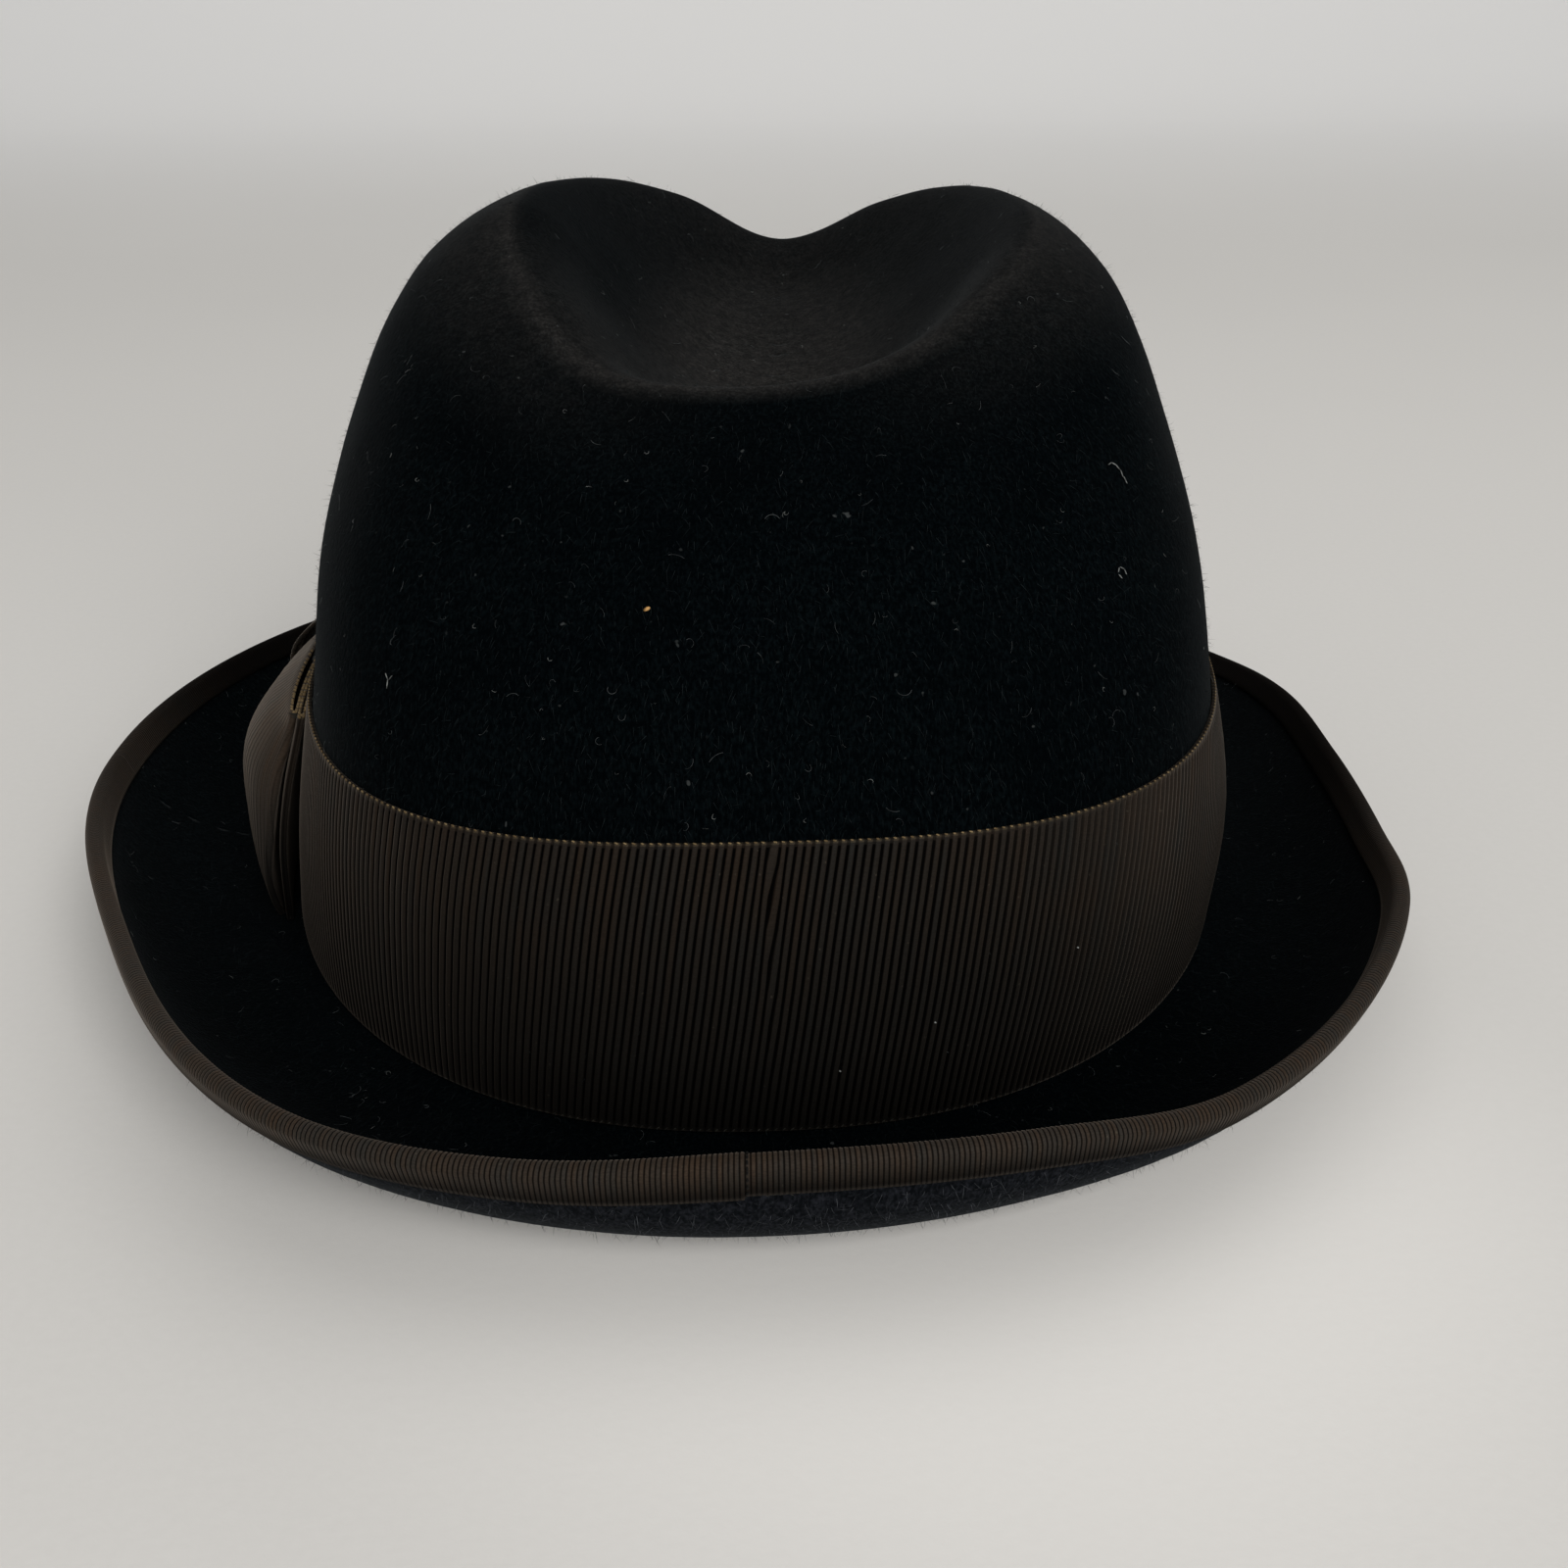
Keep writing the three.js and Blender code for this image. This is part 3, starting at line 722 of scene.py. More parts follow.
def makeFelt(outside, underside):
    columns = body["columns"]
    turns, girth = evenTurns(columns, lambda turn: crownPoint(turn, 0.3))
    rows = [("brim", share) for share in steps(1, 0, body["brimRows"])]
    rows += [("wall", share) for share in steps(0, body["closeFrom"], body["wallRows"])[1:]]
    rows += [("wall", share) for share in steps(body["closeFrom"], 1, body["ridgeRows"])[1:]]
    rows += [("crease", depth) for depth in steps(0, 1, body["creaseRows"])[1:]]

    def bend(column, row):
        kind, share = rows[row]
        column %= columns
        if kind == "crease" and share == 1:
            column = creaseFloorColumn(column, columns)
        turn = turns[column]
        if kind == "brim":
            return brimFrame(turn, brim["width"](turn) * share)[0]
        if kind == "wall":
            return crownPoint(turn, share)
        return creasePoint(turn, share)

    def mark(column, row):
        kind, share = rows[row]
        return wornAt(kind, share, turns[column % columns])

    felt = bentSheet(columns, steps(0, body["across"], len(rows) - 1), girth, bend, mark)
    soft = []
    for vert in felt.verts:
        turn, out = creasePlace(vert.co)
        onRidge = out > body["softRidge"] and vert.co.z > body["softNear"] * ridgeHeight(turn)
        if vert.co.z > body["softAbove"] * crown["height"] and (onRidge or out < body["softFloor"]):
            soft.append(vert)
    for k in range(body["softening"]):
        bmesh.ops.smooth_vert(felt, verts=soft, factor=0.5, use_axis_x=True, use_axis_y=True, use_axis_z=True)
    felt.normal_update()
    for vert in felt.verts:
        above = ease(vert.co.z, *body["unevenFrom"])
        swell = noise.noise(vert.co * 0.035) * 0.7 + noise.noise(vert.co * 0.09) * 0.3
        vert.co += vert.normal * swell * body["unevenness"] * above
        vert.co = onTable(vert.co)
    piece = addPiece("felt_body_soft", asMesh("felt_body_soft", felt), outside, "felt_body")
    piece.data.materials.append(underside)
    addWall(piece, brim["wall"], -1).material_offset = 1
    return piece


# Hatband

band = {
    "foot": 0.7,
    "top": 45.5,
    "inside": 0.2,
    "thickness": 0.75,
    "ribPitch": 1.25,
    "ribDepth": 0.30,
    "ribColumns": 6,
    "ribLean": 0.09,
    "selvedge": 0.75,
    "looseTurn": 182.0,
    "looseSpread": 24.0,
    "loose": 2.0,
    "ribbon": {
        "brightness": 1.18, "warmth": (0.1, 1.0), "groove": (0.22, 0.40), "selvedge": 0.75,
        "line": (0.3, 1.0), "contrast": 1.0, "sideContrast": 0.12, "backFrom": (0.064, 0.092),
        "shade": 0.62, "shadeFrom": (-0.004, 0.0448), "sideShade": 0.0,
    },
    # stitches: how deep they sit in the ribbon, their length, how much it varies, and their radius
    "topStitch": (0.22, 0.66, 0.08, 0.15),
    "footStitch": (0.15, 0.7, 0.1, 0.10),
    "footStitchLift": 0.22,
}


def ribAt(position):
    # height of a rib's round back across one pitch
    return math.sqrt(max(math.sin(math.pi * (position % 1.0)), 0.0))


def bandStand(turn, rise):
    # how far the band's outside stands off the crown: it bellies out a little at one side
    share = (rise - band["foot"]) / (band["top"] - band["foot"])
    near = math.exp(-(((turn - band["looseTurn"] + 180) % 360 - 180) / band["looseSpread"]) ** 2)
    return band["inside"] + band["loose"] * near * math.sin(math.pi * min(max(share, 0), 1))


class BandLine:
    # even places along the band, at any height on it
    def __init__(self):
        self.low = band["foot"]
        self.high = band["top"]
        self.middle = (self.low + self.high) / 2
        self.levels = {}
        self.girth = self.level(self.middle)[1]
        self.ribs = round(self.girth / band["ribPitch"])

    def level(self, rise):
        if rise not in self.levels:
            self.levels[rise] = evenTurns(720, lambda turn: wallPoint(turn, rise, 1))
        return self.levels[rise]

    def point(self, share, rise, depth):
        lean = (self.middle - rise) * band["ribLean"] / self.girth
        turn = turnAt(self.level(rise)[0], (share - lean) % 1.0)
        return wallPoint(turn, rise, bandStand(turn, rise) + depth)


def makeBand(line, material):
    low, high, edge = line.low, line.high, band["selvedge"]
    columns = line.ribs * band["ribColumns"]
    nearEdge = [0, 0.35, edge, edge + 0.45]
    heights = [low + inset for inset in nearEdge] + steps(low + 3, high - 3, 8)
    heights += [high - inset for inset in reversed(nearEdge)]
    section = [(rise, 1) for rise in heights] + [(high, 0), (line.middle, 0), (low, 0), (low, 1)]
    across = [0.0]
    for (rise, side), (nextRise, nextSide) in zip(section, section[1:]):
        across.append(across[-1] + abs(nextRise - rise) + abs(nextSide - side) * band["thickness"])

    def bend(column, row):
        rise, outer = section[row]
        column %= columns
        fade = ease(min(rise - low, high - rise), edge * 0.6, edge + 0.4)
        rib = ribAt(column / band["ribColumns"]) * fade + (1 - fade) * 0.55
        depth = band["thickness"] - band["ribDepth"] * (1 - rib)
        return onTable(line.point(column / columns, rise, depth * outer))

    sheet = bentSheet(columns, across, line.girth, bend)
    addPiece("hatband_ribbed", asMesh("hatband_ribbed", sheet), material, "hatband")


# Threads: small rounded stitches laid one by one

def makeStitches(name, places, material):
    # places are (middle, direction, length, radius) in millimetres
    bead = bmesh.new()
    bmesh.ops.create_uvsphere(bead, u_segments=6, v_segments=5, radius=1)
    for face in bead.faces:
        face.smooth = True
    threads = bmesh.new()
    for middle, direction, length, radius in places:
        turn = direction.to_track_quat("Z", "Y").to_matrix().to_4x4()
        shape = bpy.data.meshes.new("stitch")
        bead.to_mesh(shape)
        shape.transform(Matrix.Translation(middle) @ turn @ Matrix.Diagonal((radius, radius, length / 2, 1)))
        threads.from_mesh(shape)
        bpy.data.meshes.remove(shape)
    bead.free()
    for vert in threads.verts:
        vert.co = onTable(vert.co)
    addPiece(name, asMesh(name, threads), material)


def bandStitches(line, gold, pale):
    top, low = [], []
    topSunk, topLength, topVaries, topRadius = band["topStitch"]
    footSunk, footLength, footVaries, footRadius = band["footStitch"]
    for k in range(line.ribs):
        share = (k + 0.5) / line.ribs
        here = line.point(share, line.high, band["thickness"] - topSunk)
        along = (line.point(share + 0.001, line.high, band["thickness"] - topSunk) - here).normalized()
        dip = Vector((0, 0, -0.30 - random.uniform(0, 0.15)))
        top.append((here, along + dip, topLength + random.uniform(-topVaries, topVaries), topRadius))
        here = line.point(share, line.low, band["thickness"] - footSunk)
        here.z += band["footStitchLift"]
        rise = Vector((0, 0, 0.9))
        low.append((here, along + rise, footLength + random.uniform(-footVaries, footVaries), footRadius))
    makeStitches("band_top_threads", top, gold)
    makeStitches("band_foot_threads", low, pale)


# Brim binding

binding = {
    # how far it reaches onto the brim, and its whole width round the edge
    "width": 3.8,
    "across": 12.4,
    "gap": 0.1,
    "thickness": 0.55,
    "ribPitch": 0.68,
    "ribDepth": 0.13,
    "ribColumns": 3,
    "seamTurn": 88.0,
    "seamStep": 0.18,
    "seamFade": 20.0,
    "seamLift": 0.4,
    "ribbon": {
        "brightness": 2.4, "warmth": (0.7, 1.4), "groove": (0.25, 0.42), "selvedge": 0.5, "line": (0.0, 0.7),
        "contrast": 0.85, "sideContrast": 0.3, "backFrom": (-0.03, 0.105),
        "shade": 0.8, "shadeFrom": (0.0003, 0.0050), "sideShade": 0.94,
    },
    "holeLength": 0.62,
    "holeRadius": 0.17,
    # degrees past the seam, length, and upward lean
    "frayed": [(1.32, 1.8, 0.32), (1.8, 1.3, 0.32), (2.16, 1.0, -0.48), (0.96, 0.9, -0.43)],
    "frayedRadius": 0.07,
}


def bindingLine(turn, stand, under):
    # the ribbon's line over the edge, from under the brim to its upper side: (point, way off the felt)
    width = brim["width"](turn)
    half = brim["wall"] / 2
    line = []
    for share in steps(1, 0, 4):
        point, tangent, normal = brimFrame(turn, width - under * share)
        line.append((point - normal * (brim["wall"] + stand), -normal))
    for angle in steps(-72, 72, 5):
        out = tangent * math.cos(math.radians(angle)) + normal * math.sin(math.radians(angle))
        line.append((point - normal * half + out * (half + stand), out))
    for share in steps(0, 1, 4):
        point, tangent, normal = brimFrame(turn, width - binding["width"] * share)
        line.append((point + normal * stand, normal))
    return line


def makeBinding(material):
    turns, girth = evenTurns(1440, lambda turn: brimFrame(turn, brim["width"](turn))[0])
    columns = round(girth / binding["ribPitch"]) * binding["ribColumns"]
    sections = {}

    def sectionAt(column):
        if column not in sections:
            turn = turnAt(turns, column / columns)
            past = turn - binding["seamTurn"]
            under = binding["width"] - (binding["seamLift"] * (1 - ease(past, 4, 60)) if past > 0 else 0)
            lap = binding["seamStep"] * ease(past, -binding["seamFade"], -1) if past < 0 else 0
            rib = ribAt(column / binding["ribColumns"] + 0.17)
            outer = []
            lines = bindingLine(turn, binding["gap"], under)
            last = len(lines) - 1
            for k, (point, away) in enumerate(lines):
                edge = 0.0 if k in (0, last) else 1.0
                depth = binding["thickness"] - binding["ribDepth"] * (1 - rib * edge) + lap
                outer.append(point + away * depth)
            inner = [point for point, away in lines[::-3]]
            sections[column] = outer + inner + [outer[0]]
        return sections[column]

    across = lineLengths(sectionAt(columns // 2))
    sheet = bentSheet(columns, across, girth, lambda column, row: onTable(sectionAt(column % columns)[row]))
    ribbon = asMesh("brim_binding_ribbed", sheet)
    return addPiece("brim_binding_ribbed", ribbon, material, "brim_binding")


def bindingSeam(dark, pale):
    # stitch holes down the lapped end, and a frayed thread beside them
    turn = binding["seamTurn"] + 0.15
    line = bindingLine(turn, binding["gap"] + binding["thickness"] + 0.04, binding["width"])
    holes = []
    for k in range(1, 13):
        along = line[k + 1][0] - line[k - 1][0]
        holes.append((line[k][0], along, binding["holeLength"], binding["holeRadius"]))
    makeStitches("binding_seam_holes", holes, dark)
    frayed = []
    for past, length, lean in binding["frayed"]:
        point = bindingLine(turn + past, binding["gap"] + 0.3, binding["width"] - 0.3)[0][0]
        frayed.append((point, Vector((-1, 0.25, lean)), length, binding["frayedRadius"]))
    makeStitches("binding_frayed_thread", frayed, pale)


# Bow

bow = {
    "turn": -12.0,
    "length": 40.0,
    "swell": 6.8,
    "foot": 1.8,
    "endSag": 1.1,
    "top": 40.5,
    "endDrop": 1.6,
    "onBand": 0.8,
    "layer": 1.3,
    "standOff": 1.3,
    "underInset": 11.0,
    "knotWidth": 9.0,
    "knotPleat": 0.35,
    "knotWaist": 0.8,
    # how far the knot's outside stands off, by height
    "knotOutside": [(1.5, 3.0), (6, 6.6), (14, 9.9), (22, 11.6), (28, 11.4), (33, 8.3), (36.5, 4.8),
                    (39.5, 2.5)],
    "knotRows": 18,
    # where the end folds lie, by share of the height
    "loopSeat": Curve([(0, 2.7), (0.07, 3.7), (0.2, 4.5), (0.4, 4.1), (0.65, 3.2), (0.9, 1.7), (1, 1.3)]),
    "foldSeat": Curve([(0, 1.3), (0.35, 1.9), (0.65, 1.3), (0.9, 0.3), (1, 0.0)]),
    "foldGap": 0.8,
    "endSlope": 6.0,
    "thickness": 0.5,
    "ribPitch": 1.15,
    "ribDepth": 0.16,
    "ribColumns": 5,
    "rows": 22,
    # along, layer, swell, seat: the loop's ribbon from the knot out and back
    "loop": [(0, 0, 0, 0), (0.2, 0, 0.02, 1), (0.65, 0, 0.03, 1), (0.955, 0, 0, 1), (1, 0.5, 0.02, 1),
             (0.97, 1, 0.12, 1), (0.86, 1, 0.55, 1), (0.68, 1, 0.93, 1), (0.46, 1, 1, 1), (0.24, 1, 0.68, 1),
             (0.08, 1, 0.16, 0.5), (0, 1, 0, 0)],
    "swellByHeight": Curve([(0, 0), (0.2, 0.4), (0.37, 0.69), (0.64, 1), (0.84, 0.72), (0.94, 0.30),
                            (1, 0.08)]),
    "stitchLength": 0.95,
    "stitchRadius": 0.30,
    # stitches that close the loop's end: leans, lifts and lengths
    "tack": [(0.5, 0.4, 2.6), (-0.3, 0.1, 2.1), (0.1, -0.3, 1.6)],
    "tackRadius": 0.12,
    # the loops' ribbon is painted brighter than the same ribbon on the band, as painted light, and its lower
    # part darker, as painted shade
    "ribbon": {
        "brightness": 2.9, "warmth": (0.1, 1.0), "groove": (0.31, 0.46), "selvedge": 0.75, "line": (0.4, 1.0),
        "contrast": 0.3, "sideContrast": 0.3, "backFrom": (0.0, 0.05),
        "shade": 0.92, "shadeFrom": (-0.001, 0.029), "sideShade": 0.0,
    },
    # where the fold and the knot differ: the fold is painted darker than the loops, as painted shade under
    # them
    "fold": {"brightness": 1.3, "shadeFrom": (0.0, 0.038)},
    "knot": {"brightness": 1.6, "shade": 0.0, "line": (0.0, 0.0)},
}


def bowPoint(along, rise, stand):
    turn = bow["turn"] + math.degrees(along / crown["halfWidth"])
    return wallPoint(turn, rise, bow["standOff"] + stand)


def bowTop(along):
    return bow["top"] - bow["endDrop"] * abs(along) / bow["length"]


def bowFoot(along):
    return bow["foot"] - bow["endSag"] * abs(along) / bow["length"]


def smoothLine(points, count, closed=False):
    # even places along a smooth line through flat points, and its length
    last = len(points)
    fine = []
    for k in range(last if closed else last - 1):
        a, b, c, d = [points[(k + i) % last] if closed else points[min(max(k + i, 0), last - 1)]
                      for i in (-1, 0, 1, 2)]
        for u in steps(0, 1, 12)[:-1]:
            fine.append(0.5 * (2 * b + (c - a) * u + (2 * a - 5 * b + 4 * c - d) * u * u
                               + (3 * b - a - 3 * c + d) * u * u * u))
    fine.append(points[0] if closed else points[-1])
    places, length = evenPlaces(fine, count)
    return [fine[k].lerp(fine[k + 1], part) for k, part in places], length


def makeBowRibbon(name, node, middleLine, material, gold):
    # a ribbon stood on edge; middleLine gives (along, stand) seen from above, at a share of its height
    length = smoothLine(middleLine(0.5), 8)[1]
    ribs = round(length / bow["ribPitch"])
    columns = ribs * bow["ribColumns"]
    rows = bow["rows"]
    lines = [smoothLine(middleLine(row / rows), columns)[0] for row in range(rows + 1)]

    def place(column, row, relief):
        line = lines[row]
        way = (line[min(column + 1, columns)] - line[max(column - 1, 0)]).normalized()
        along = line[column].x - way.y * relief
        stand = line[column].y + way.x * relief
        rise = bowFoot(along) + (bowTop(along) - bowFoot(along)) * row / rows
        return bowPoint(along, rise, stand)

    def bend(column, row):
        edge = 0.4 if row in (0, rows) else 1.0
        return onTable(place(column, row, bow["ribDepth"] * (ribAt(column / bow["ribColumns"]) - 0.5) * edge))

    height = bowTop(0) - bowFoot(0)
    sheet = bentSheet(columns, steps(0, height, rows), length, bend)
    piece = addPiece(name, asMesh(name, sheet), material, node)
    addWall(piece, bow["thickness"], 0)
    stitches = []
    for k in range(1, ribs - 1):
        column = round((k + 0.5) * bow["ribColumns"])
        here = place(column, rows, 0)
        ahead = place(column + 1, rows, 0) - place(column - 1, rows, 0)
        slant = Vector((0, 0, random.uniform(-0.25, 0.25)))
        stitches.append((here, ahead.normalized() + slant, bow["stitchLength"], bow["stitchRadius"]))
    makeStitches(name + "_threads", stitches, gold)


def makeBow(litLoopRibbon, shadedFoldRibbon, knotRibbon, gold, pale):
    waist = bow["onBand"] + bow["layer"]

    def loopLine(side, seatBy):
        edge = bow["knotWidth"] / 2 + 0.3

        def middleLine(level):
            swellHere = bow["swell"] * bow["swellByHeight"](level)
            end = bow["length"] + bow["endSlope"] * (0.5 - level)
            line = [Vector((side * 0.3, waist))]
            for along, layer, swell, seated in bow["loop"]:
                stand = waist + (seatBy(level) - waist) * seated + layer * bow["foldGap"] + swell * swellHere
                line.append(Vector((side * (edge + along * (end - edge)), stand)))
            line.append(Vector((side * 0.3, waist + bow["layer"])))
            return line
        return middleLine

    def foldLine(level):
        inset, gap, first = bow["underInset"], bow["foldGap"], bow["foldSeat"](level)
        end = bow["length"] + 0.8 + bow["endSlope"] * (0.5 - level)
        return [Vector(p) for p in (
            (inset, first), ((inset + end) / 2, first), (end - gap / 2, first), (end, first + gap / 2),
            (end - gap / 2, first + gap), ((inset + end) / 2, first + gap), (inset, first + gap))]

    frontLine = loopLine(-1, lambda level: waist)
    makeBowRibbon("bow_loop_soft", "bow_loop", loopLine(1, bow["loopSeat"]), litLoopRibbon, gold)
    makeBowRibbon("bow_front_loop_soft", "bow_front_loop", frontLine, litLoopRibbon, gold)
    makeBowRibbon("bow_under_fold_soft", "bow_under_fold", foldLine, shadedFoldRibbon, gold)
    makeKnot(bow["layer"], knotRibbon)
    tack = []
    end = bow["length"] - bow["endSlope"] / 2
    for lean, lift, length in bow["tack"]:
        here = bowPoint(end + 0.4, bowTop(end) - 0.5 + lift, bow["loopSeat"](1) + 0.2)
        tack.append((here, Vector((1, lean, 0.35)), length, bow["tackRadius"]))
    makeStitches("bow_tack", tack, pale)


def makeKnot(innerStand, material):
    # the wrap: a ring of ribbon round the bow's middle, gathered into soft pleats
    low = bow["foot"] - 0.5
    high = bow["top"] - 0.2
    inside = [(low + 0.9, innerStand), ((low + high) / 2, innerStand), (high - 0.9, innerStand)]
    outside = [(high + 0.1, innerStand + 1), *reversed(bow["knotOutside"]), (low - 0.1, innerStand + 0.9)]
    corners = [Vector(p) for p in inside + outside]
    length = smoothLine(corners, 8, True)[1]
    columns = round(length / bow["ribPitch"]) * bow["ribColumns"]
    ring = smoothLine(corners, columns, True)[0]
    rows = bow["knotRows"]

    def bend(column, row):
        here = ring[column % columns]
        way = (ring[(column + 1) % columns] - ring[(column - 1) % columns]).normalized()
        share = row / rows - 0.5
        outer = ease(here.y, innerStand + 1, innerStand + 4)
        narrow = 1 - (1 - bow["knotWaist"]) * outer * math.sin(math.pi * ease(here.x, low, high))
        pleat = bow["knotPleat"] * outer * math.cos(share * math.tau * 2.5)
        relief = bow["ribDepth"] * (ribAt(column / bow["ribColumns"]) - 0.5) + pleat
        along = share * bow["knotWidth"] * narrow
        return onTable(bowPoint(along, here.x - way.y * relief, here.y - way.x * relief))

    sheet = bentSheet(columns, steps(0, bow["knotWidth"], rows), length, bend)
    bmesh.ops.recalc_face_normals(sheet, faces=sheet.faces)
    piece = addPiece("bow_knot_soft", asMesh("bow_knot_soft", sheet), material, "bow_knot")
    addWall(piece, bow["thickness"], 0)


# Nap and lint, strewn by geometry nodes and then made one mesh each

nap = {
    "length": 2.1,
    "width": 0.046,
    "colour": (0.0100, 0.0140, 0.0155),
    "dusty": (0.060, 0.064, 0.072),
    "wisp": (0.075, 0.082, 0.085),
    "lint": (0.20, 0.21, 0.205),
}

strewn = {
    # hairs per square metre, their lift and sway in radians, and the scale of the smallest
    "nap_lying": {"density": 400000.0, "seed": 11, "lift": (0.0, 0.3), "sway": 0.45, "small": 0.4},
    "nap_standing": {"density": 180000.0, "seed": 17, "lift": (0.4, 1.3), "sway": 1.5, "small": 0.4},
    "nap_beneath": {"density": 520000.0, "seed": 23, "lift": (0.0, 0.8), "sway": 1.5, "small": 0.5},
    "wisps": {"density": 9000.0, "seed": 31, "lift": (0.0, 0.35), "sway": 3.1, "small": 0.4},
    "lint": {"density": 4500.0, "seed": 37, "lift": (0.0, 0.5), "sway": 3.1, "small": 0.3},
}

# reach, radius, turn in degrees and climb of each kind of curled thread end
curls = {
    "wisps": [(2.2, 0.024, 55, 0.3), (1.1, 0.024, 120, 0.2), (0.6, 0.022, 200, 0.2)],
    "lint": [(0.45, 0.022, 150, 0.15), (0.28, 0.022, 240, 0.2), (0.9, 0.020, 60, 0.1)],
}


def fibreShape(length, width, arch, lift):
    # a hair: a narrow strip with its tip drawn to a point
    hair = bmesh.new()
    bmesh.ops.create_grid(hair, x_segments=1, y_segments=2, size=0.5)
    for vert in hair.verts:
        run = vert.co.y + 0.5
        wide = width * (1 - 0.4 * run) if run < 0.9 else 0
        rise = arch * math.sin(math.pi * run) + lift * run
        vert.co = Vector((vert.co.x * wide, run * length, rise)) * 0.001
    bmesh.ops.remove_doubles(hair, verts=hair.verts, dist=1e-7)
    return hair


def hairs(scale):
    length = nap["length"] * scale
    return [fibreShape(length, nap["width"], 0.10, 0.05), fibreShape(length * 0.7, nap["width"], 0.12, 0.02)]


def curlShape(reach, radius, turnDegrees, climb):
    # a curled thread end: a small ring of four points spun round
    curl = bmesh.new()
    upright = Matrix.Translation((reach * 0.001, 0, 0)) @ Matrix.Rotation(math.pi / 2, 4, "X")
    ring = bmesh.ops.create_circle(curl, segments=4, radius=radius * 0.001, matrix=upright)
    edges = list({edge for vert in ring["verts"] for edge in vert.link_edges})
    bmesh.ops.spin(curl, geom=edges, cent=(0, 0, 0), axis=(0, 0, 1), angle=math.radians(turnDegrees), steps=9,
                   dvec=(0, 0, climb * 0.001 / 9))
    for face in curl.faces:
        face.smooth = True
    return curl


def strew(name, ground, shapes, material):
    settings = strewn[name]
    kinds = bpy.data.collections.new(name + "_kinds")
    samples = []
    for k, shape in enumerate(shapes):
        samples.append(bpy.data.objects.new(name + str(k), asMesh(name + str(k), shape)))
        kinds.objects.link(samples[-1])
    tree = bpy.data.node_groups.new(name, "GeometryNodeTree")
    tree.interface.new_socket("Geometry", in_out="INPUT", socket_type="NodeSocketGeometry")
    tree.interface.new_socket("Geometry", in_out="OUTPUT", socket_type="NodeSocketGeometry")
    nodes = Nodes(tree)
    seed = settings["seed"]

    def chance(kind, low, high, salt):
        end = {"FLOAT_VECTOR": "", "FLOAT": "_001", "INT": "_002"}[kind]
        return nodes.add("FunctionNodeRandomValue", {"data_type": kind},
                         {"Min" + end: low, "Max" + end: high, "Seed": seed + salt}, "Value" + end)

    start = nodes.add("NodeGroupInput")
    points = nodes.add("GeometryNodeDistributePointsOnFaces", {"distribute_method": "RANDOM"},
                       {"Mesh": start, "Density": settings["density"], "Seed": seed})
    normal = Tone(nodes, points.socket.node.outputs["Normal"])
    stand = nodes.add("FunctionNodeAlignRotationToVector", {"axis": "Z"}, {"Vector": normal})
    comb = nodes.add("FunctionNodeAlignRotationToVector", {"axis": "Y", "pivot_axis": "Z"},
                     {"Rotation": stand, "Vector": (0, 0, -1)})
    widest = settings["sway"]
    sway = nodes.add("ShaderNodeCombineXYZ", values={
        "X": chance("FLOAT", *settings["lift"], 1),
        "Z": chance("FLOAT", -widest, widest, 2) + chance("FLOAT", -widest, widest, 3)})
    twist = nodes.add("FunctionNodeEulerToRotation", values={"Euler": sway})
    turned = nodes.add("FunctionNodeRotateRotation", {"rotation_space": "LOCAL"},
                       {"Rotation": comb, "Rotate By": twist})
    chosen = nodes.add("GeometryNodeCollectionInfo", {"transform_space": "ORIGINAL"},
                       {"Collection": kinds, "Separate Children": True, "Reset Children": True})
    scattered = nodes.add("GeometryNodeInstanceOnPoints", values={
        "Points": points, "Instance": chosen, "Pick Instance": True, "Rotation": turned,
        "Instance Index": chance("INT", 0, len(shapes) - 1, 4),
        "Scale": chance("FLOAT_VECTOR", (settings["small"],) * 3, (1.25,) * 3, 5)})
    real = nodes.add("GeometryNodeRealizeInstances", values={"Geometry": scattered})
    nodes.add("NodeGroupOutput", values={"Geometry": real})
    carrier = bpy.data.objects.new(name + "_carrier", ground)
    bpy.context.scene.collection.objects.link(carrier)
    carrier.modifiers.new("strew", "NODES").node_group = tree
    shown = carrier.evaluated_get(bpy.context.evaluated_depsgraph_get())
    data = bpy.data.meshes.new_from_object(shown)
    bpy.data.objects.remove(carrier)
    for sample in samples:
        bpy.data.objects.remove(sample)
    bpy.data.collections.remove(kinds)
    data.name = name
    data.materials.clear()
    return addPiece(name, data, material)


fluff = {
    # turn, height, then strokes: sideways, upward, lean across, lean up, length
    "tuft": (50.0, 62.5, [(0, -0.5, 0.1, 1, 1.5), (-0.4, 0.5, -0.7, 1, 1.0), (0.45, 0.55, 0.8, 0.9, 1.1)]),
    "curl": (139.0, 86.6, [(-0.2, -1.6, 0.1, 1, 1.3), (0.0, -0.5, -0.1, 1, 1.2), (0.3, 0.5, 0.5, 1, 1.1),
                           (0.9, 1.2, 1, 0.7, 1.1), (1.8, 1.4, 1, -0.2, 1.0)]),
    "ring": (131.5, 74.6, [(-0.7, 0, 0.1, 1, 0.9), (-0.3, 0.7, 1, 0.7, 0.9), (0.5, 0.6, 0.8, -1, 0.9),
                           (0.6, -0.4, -0.6, -1, 0.9)]),
    "lift": 0.25,
    "radius": 0.075,
    # turns and heights of the specks on the band, and of the fleck on the crown
    "specks": [(102.0, 16.7), (94.5, 10.2), (117.0, 24.0)],
    "fleck": (80.5, 75.7),
    "orange": (0.42, 0.24, 0.09),
}


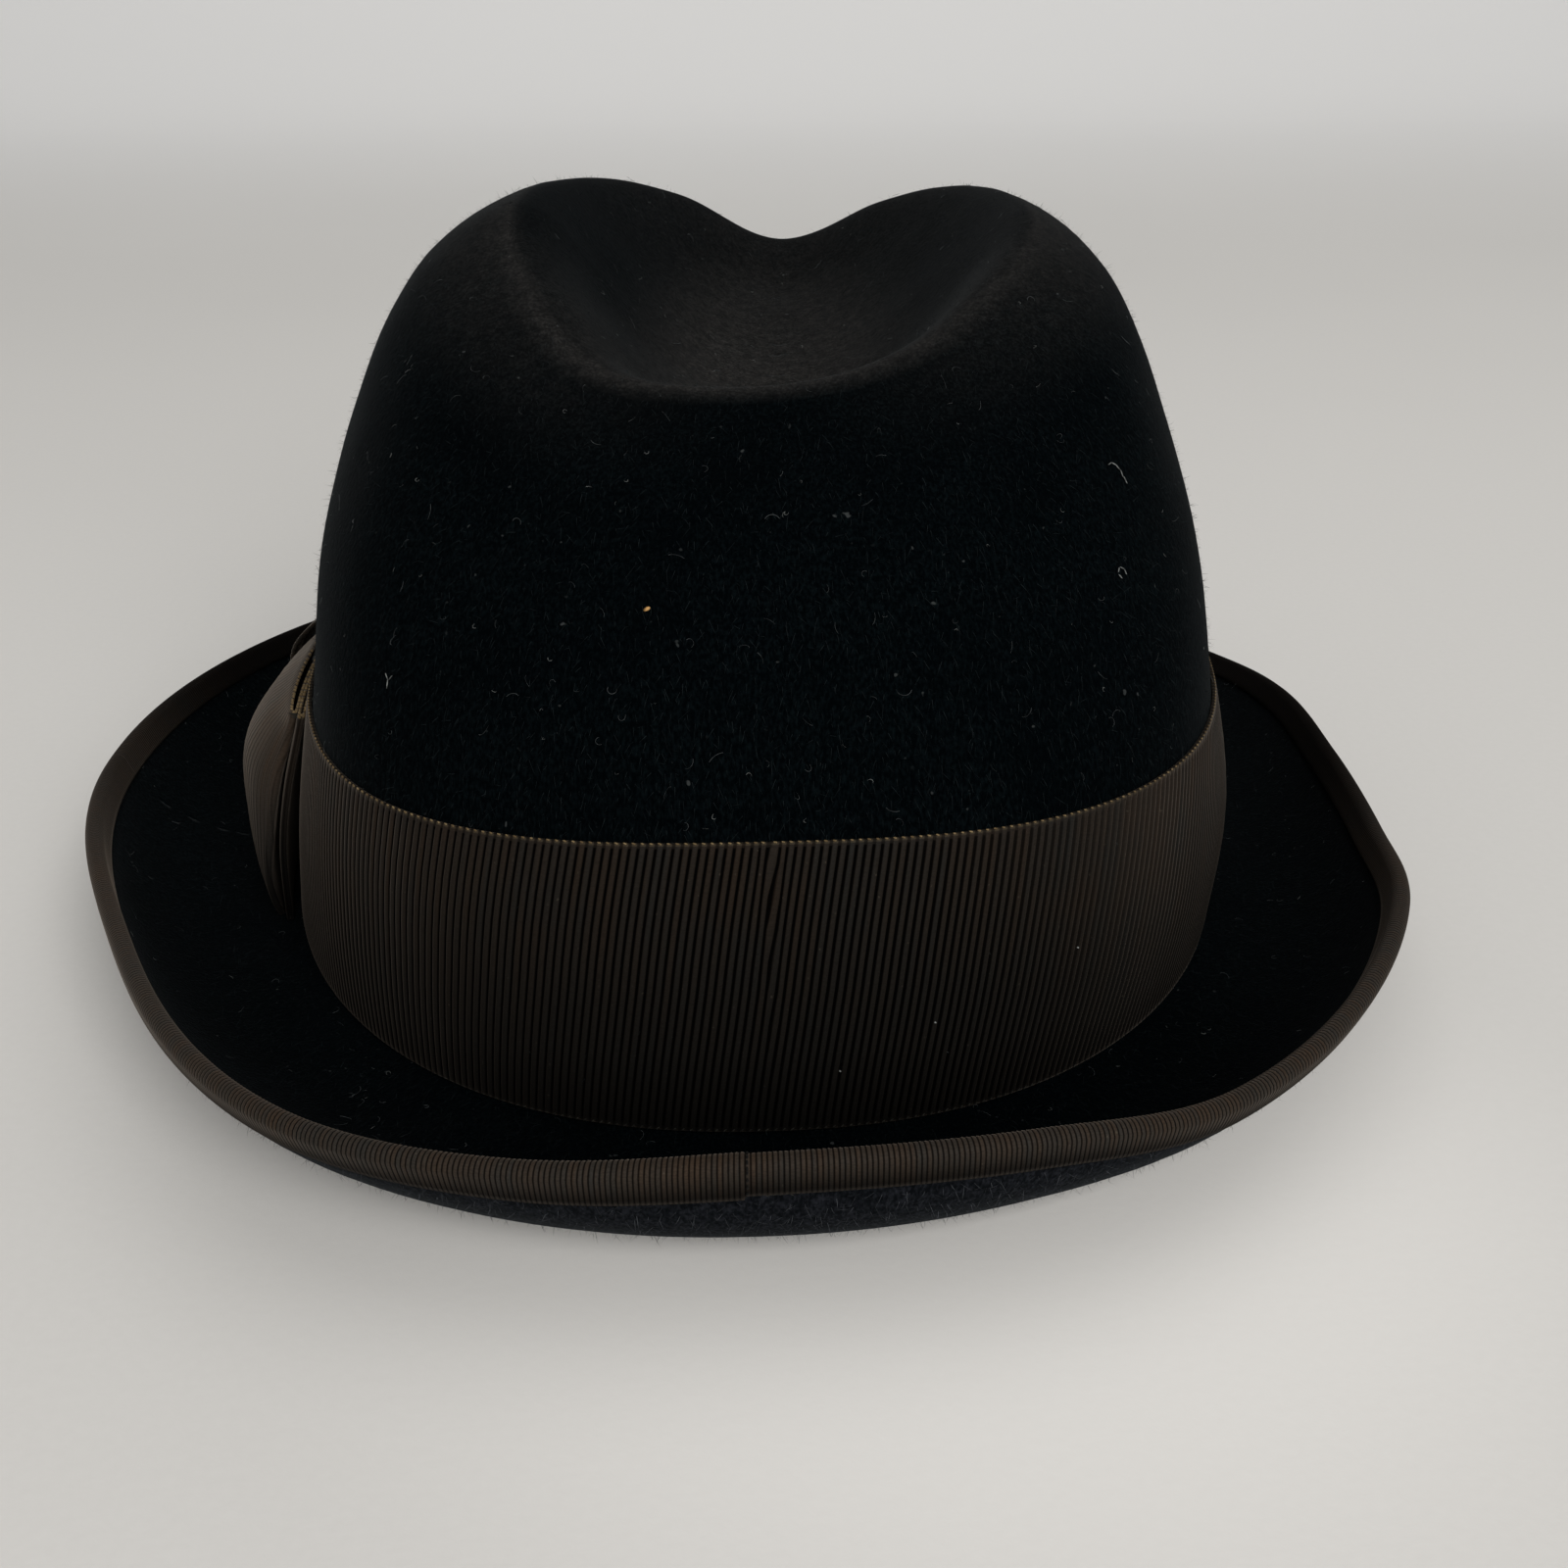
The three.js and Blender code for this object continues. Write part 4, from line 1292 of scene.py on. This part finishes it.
def addFluff(pale, orange):
    strokes = []
    for name in ("tuft", "curl", "ring"):
        turn, rise, parts = fluff[name]
        point, normal = wallFrame(turn, rise)
        side = normal.cross(Vector((0, 0, 1))).normalized()
        upward = side.cross(normal)
        for across, up, leanAcross, leanUp, length in parts:
            here = point + normal * fluff["lift"] + side * across + upward * up
            strokes.append((here, side * leanAcross + upward * leanUp, length, fluff["radius"]))
    makeStitches("fluff", strokes, pale)
    specks = []
    for turn, rise in fluff["specks"]:
        here = wallPoint(turn, rise, bandStand(turn, rise) + band["thickness"])
        specks.append((here, Vector((1, 0, 0.4)), 0.35, 0.14))
    makeStitches("band_specks", specks, pale)
    here = wallPoint(*fluff["fleck"], fluff["lift"])
    makeStitches("fleck", [(here, Vector((1, 0, -0.5)), 1.1, 0.30)], orange)


def undersideSheet():
    # the ground that the hairs under the brim stand on
    columns, rows = 144, 16
    turns, girth = evenTurns(columns, lambda turn: crownPoint(turn, 0))

    def bend(column, row):
        turn = turns[column % columns]
        point, tangent, normal = brimFrame(turn, brim["width"](turn) * (row / rows) * 0.9)
        return onTable(point - normal * brim["wall"])

    return asMesh("underside", bentSheet(columns, steps(0, 1, rows), girth, bend))


# Table, bent up behind into a backdrop

tableTop = {
    "width": 6.0,
    "near": 2.5,
    "length": 6.5,
    "bendFrom": -1.6,
    "columns": 8,
    "rows": 48,
}


def addTable():
    columns, rows = tableTop["columns"], tableTop["rows"]

    def bend(column, row):
        across = (column / columns - 0.5) * tableTop["width"]
        run = tableTop["near"] - row / rows * tableTop["length"]
        past = tableTop["bendFrom"] - run
        if past < 0:
            return Vector((across, run, 0))
        angle = min(past, math.pi / 2)
        climb = max(past - math.pi / 2, 0)
        return Vector((across, tableTop["bendFrom"] - math.sin(angle), 1 - math.cos(angle) + climb))

    sheet = bentSheet(columns, steps(0, tableTop["length"] * 1000, rows), tableTop["width"] * 1000, bend)
    bmesh.ops.recalc_face_normals(sheet, faces=sheet.faces)
    data = asMesh("table", sheet)
    table = bpy.data.objects.new("table", data)
    bpy.context.scene.collection.objects.link(table)
    data.materials.append(makeTableFinish())


random.seed(7)
addCamera()
addLights()
addTable()
print("camera, light and table")

feltOutside = makeFeltFinish("felt", False)
feltUnderside = makeFeltFinish("felt underside", True)
felt = makeFelt(feltOutside, feltUnderside)
print("felt body", len(felt.data.polygons))

bandLine = BandLine()
bandFinish = makeRibbonFinish("band ribbon", band["ribPitch"], band["top"] - band["foot"], band["ribbon"])
goldThread = makeThreadFinish("gold thread", (0.21, 0.155, 0.08), (0.07, 0.045, 0.02))
paleThread = makeThreadFinish("pale thread", (0.030, 0.030, 0.025), (0.006, 0.006, 0.005))
makeBand(bandLine, bandFinish)
bandStitches(bandLine, goldThread, paleThread)
print("hatband", bandLine.ribs, "ribs")

bindingFinish = makeRibbonFinish("binding ribbon", binding["ribPitch"], binding["across"], binding["ribbon"])
brimBinding = makeBinding(bindingFinish)
darkThread = makeThreadFinish("dark thread", (0.004, 0.003, 0.002), (0.001, 0.001, 0.001))
bindingSeam(darkThread, paleThread)
print("binding", len(brimBinding.data.polygons))

bowWidth = bow["top"] - bow["foot"]
# painted light: the loops' ribbon is brighter than the band's; painted shade: the under fold's is darker
litLoopFinish = makeRibbonFinish("bow ribbon lit", bow["ribPitch"], bowWidth, bow["ribbon"])
shadedFoldFinish = makeRibbonFinish("bow fold ribbon shaded", bow["ribPitch"], bowWidth, {**bow["ribbon"], **bow["fold"]})
knotLook = {**bow["ribbon"], **bow["knot"]}
knotFinish = makeRibbonFinish("bow knot ribbon", bow["ribPitch"], bow["knotWidth"], knotLook)
makeBow(litLoopFinish, shadedFoldFinish, knotFinish, goldThread, paleThread)
print("bow")

napFinish = makeFibreFinish("nap", nap["colour"])
dustyNap = makeFibreFinish("dusty nap", nap["dusty"])
wispFinish = makeFibreFinish("wisps", nap["wisp"])
lintFinish = makeFibreFinish("lint", nap["lint"])
for name, ground, shapes, finish in (
        ("nap_lying", felt.data, hairs(1.0), napFinish),
        ("nap_standing", felt.data, hairs(0.7), napFinish),
        ("nap_beneath", undersideSheet(), hairs(1.0), dustyNap),
        ("wisps", felt.data, [curlShape(*curl) for curl in curls["wisps"]], wispFinish),
        ("lint", felt.data, [curlShape(*curl) for curl in curls["lint"]], lintFinish)):
    piece = strew(name, ground, shapes, finish)
    print(name.replace("_", " "), len(piece.data.polygons))
addFluff(lintFinish, makeFibreFinish("orange fleck", fluff["orange"]))
print("fluff and specks")
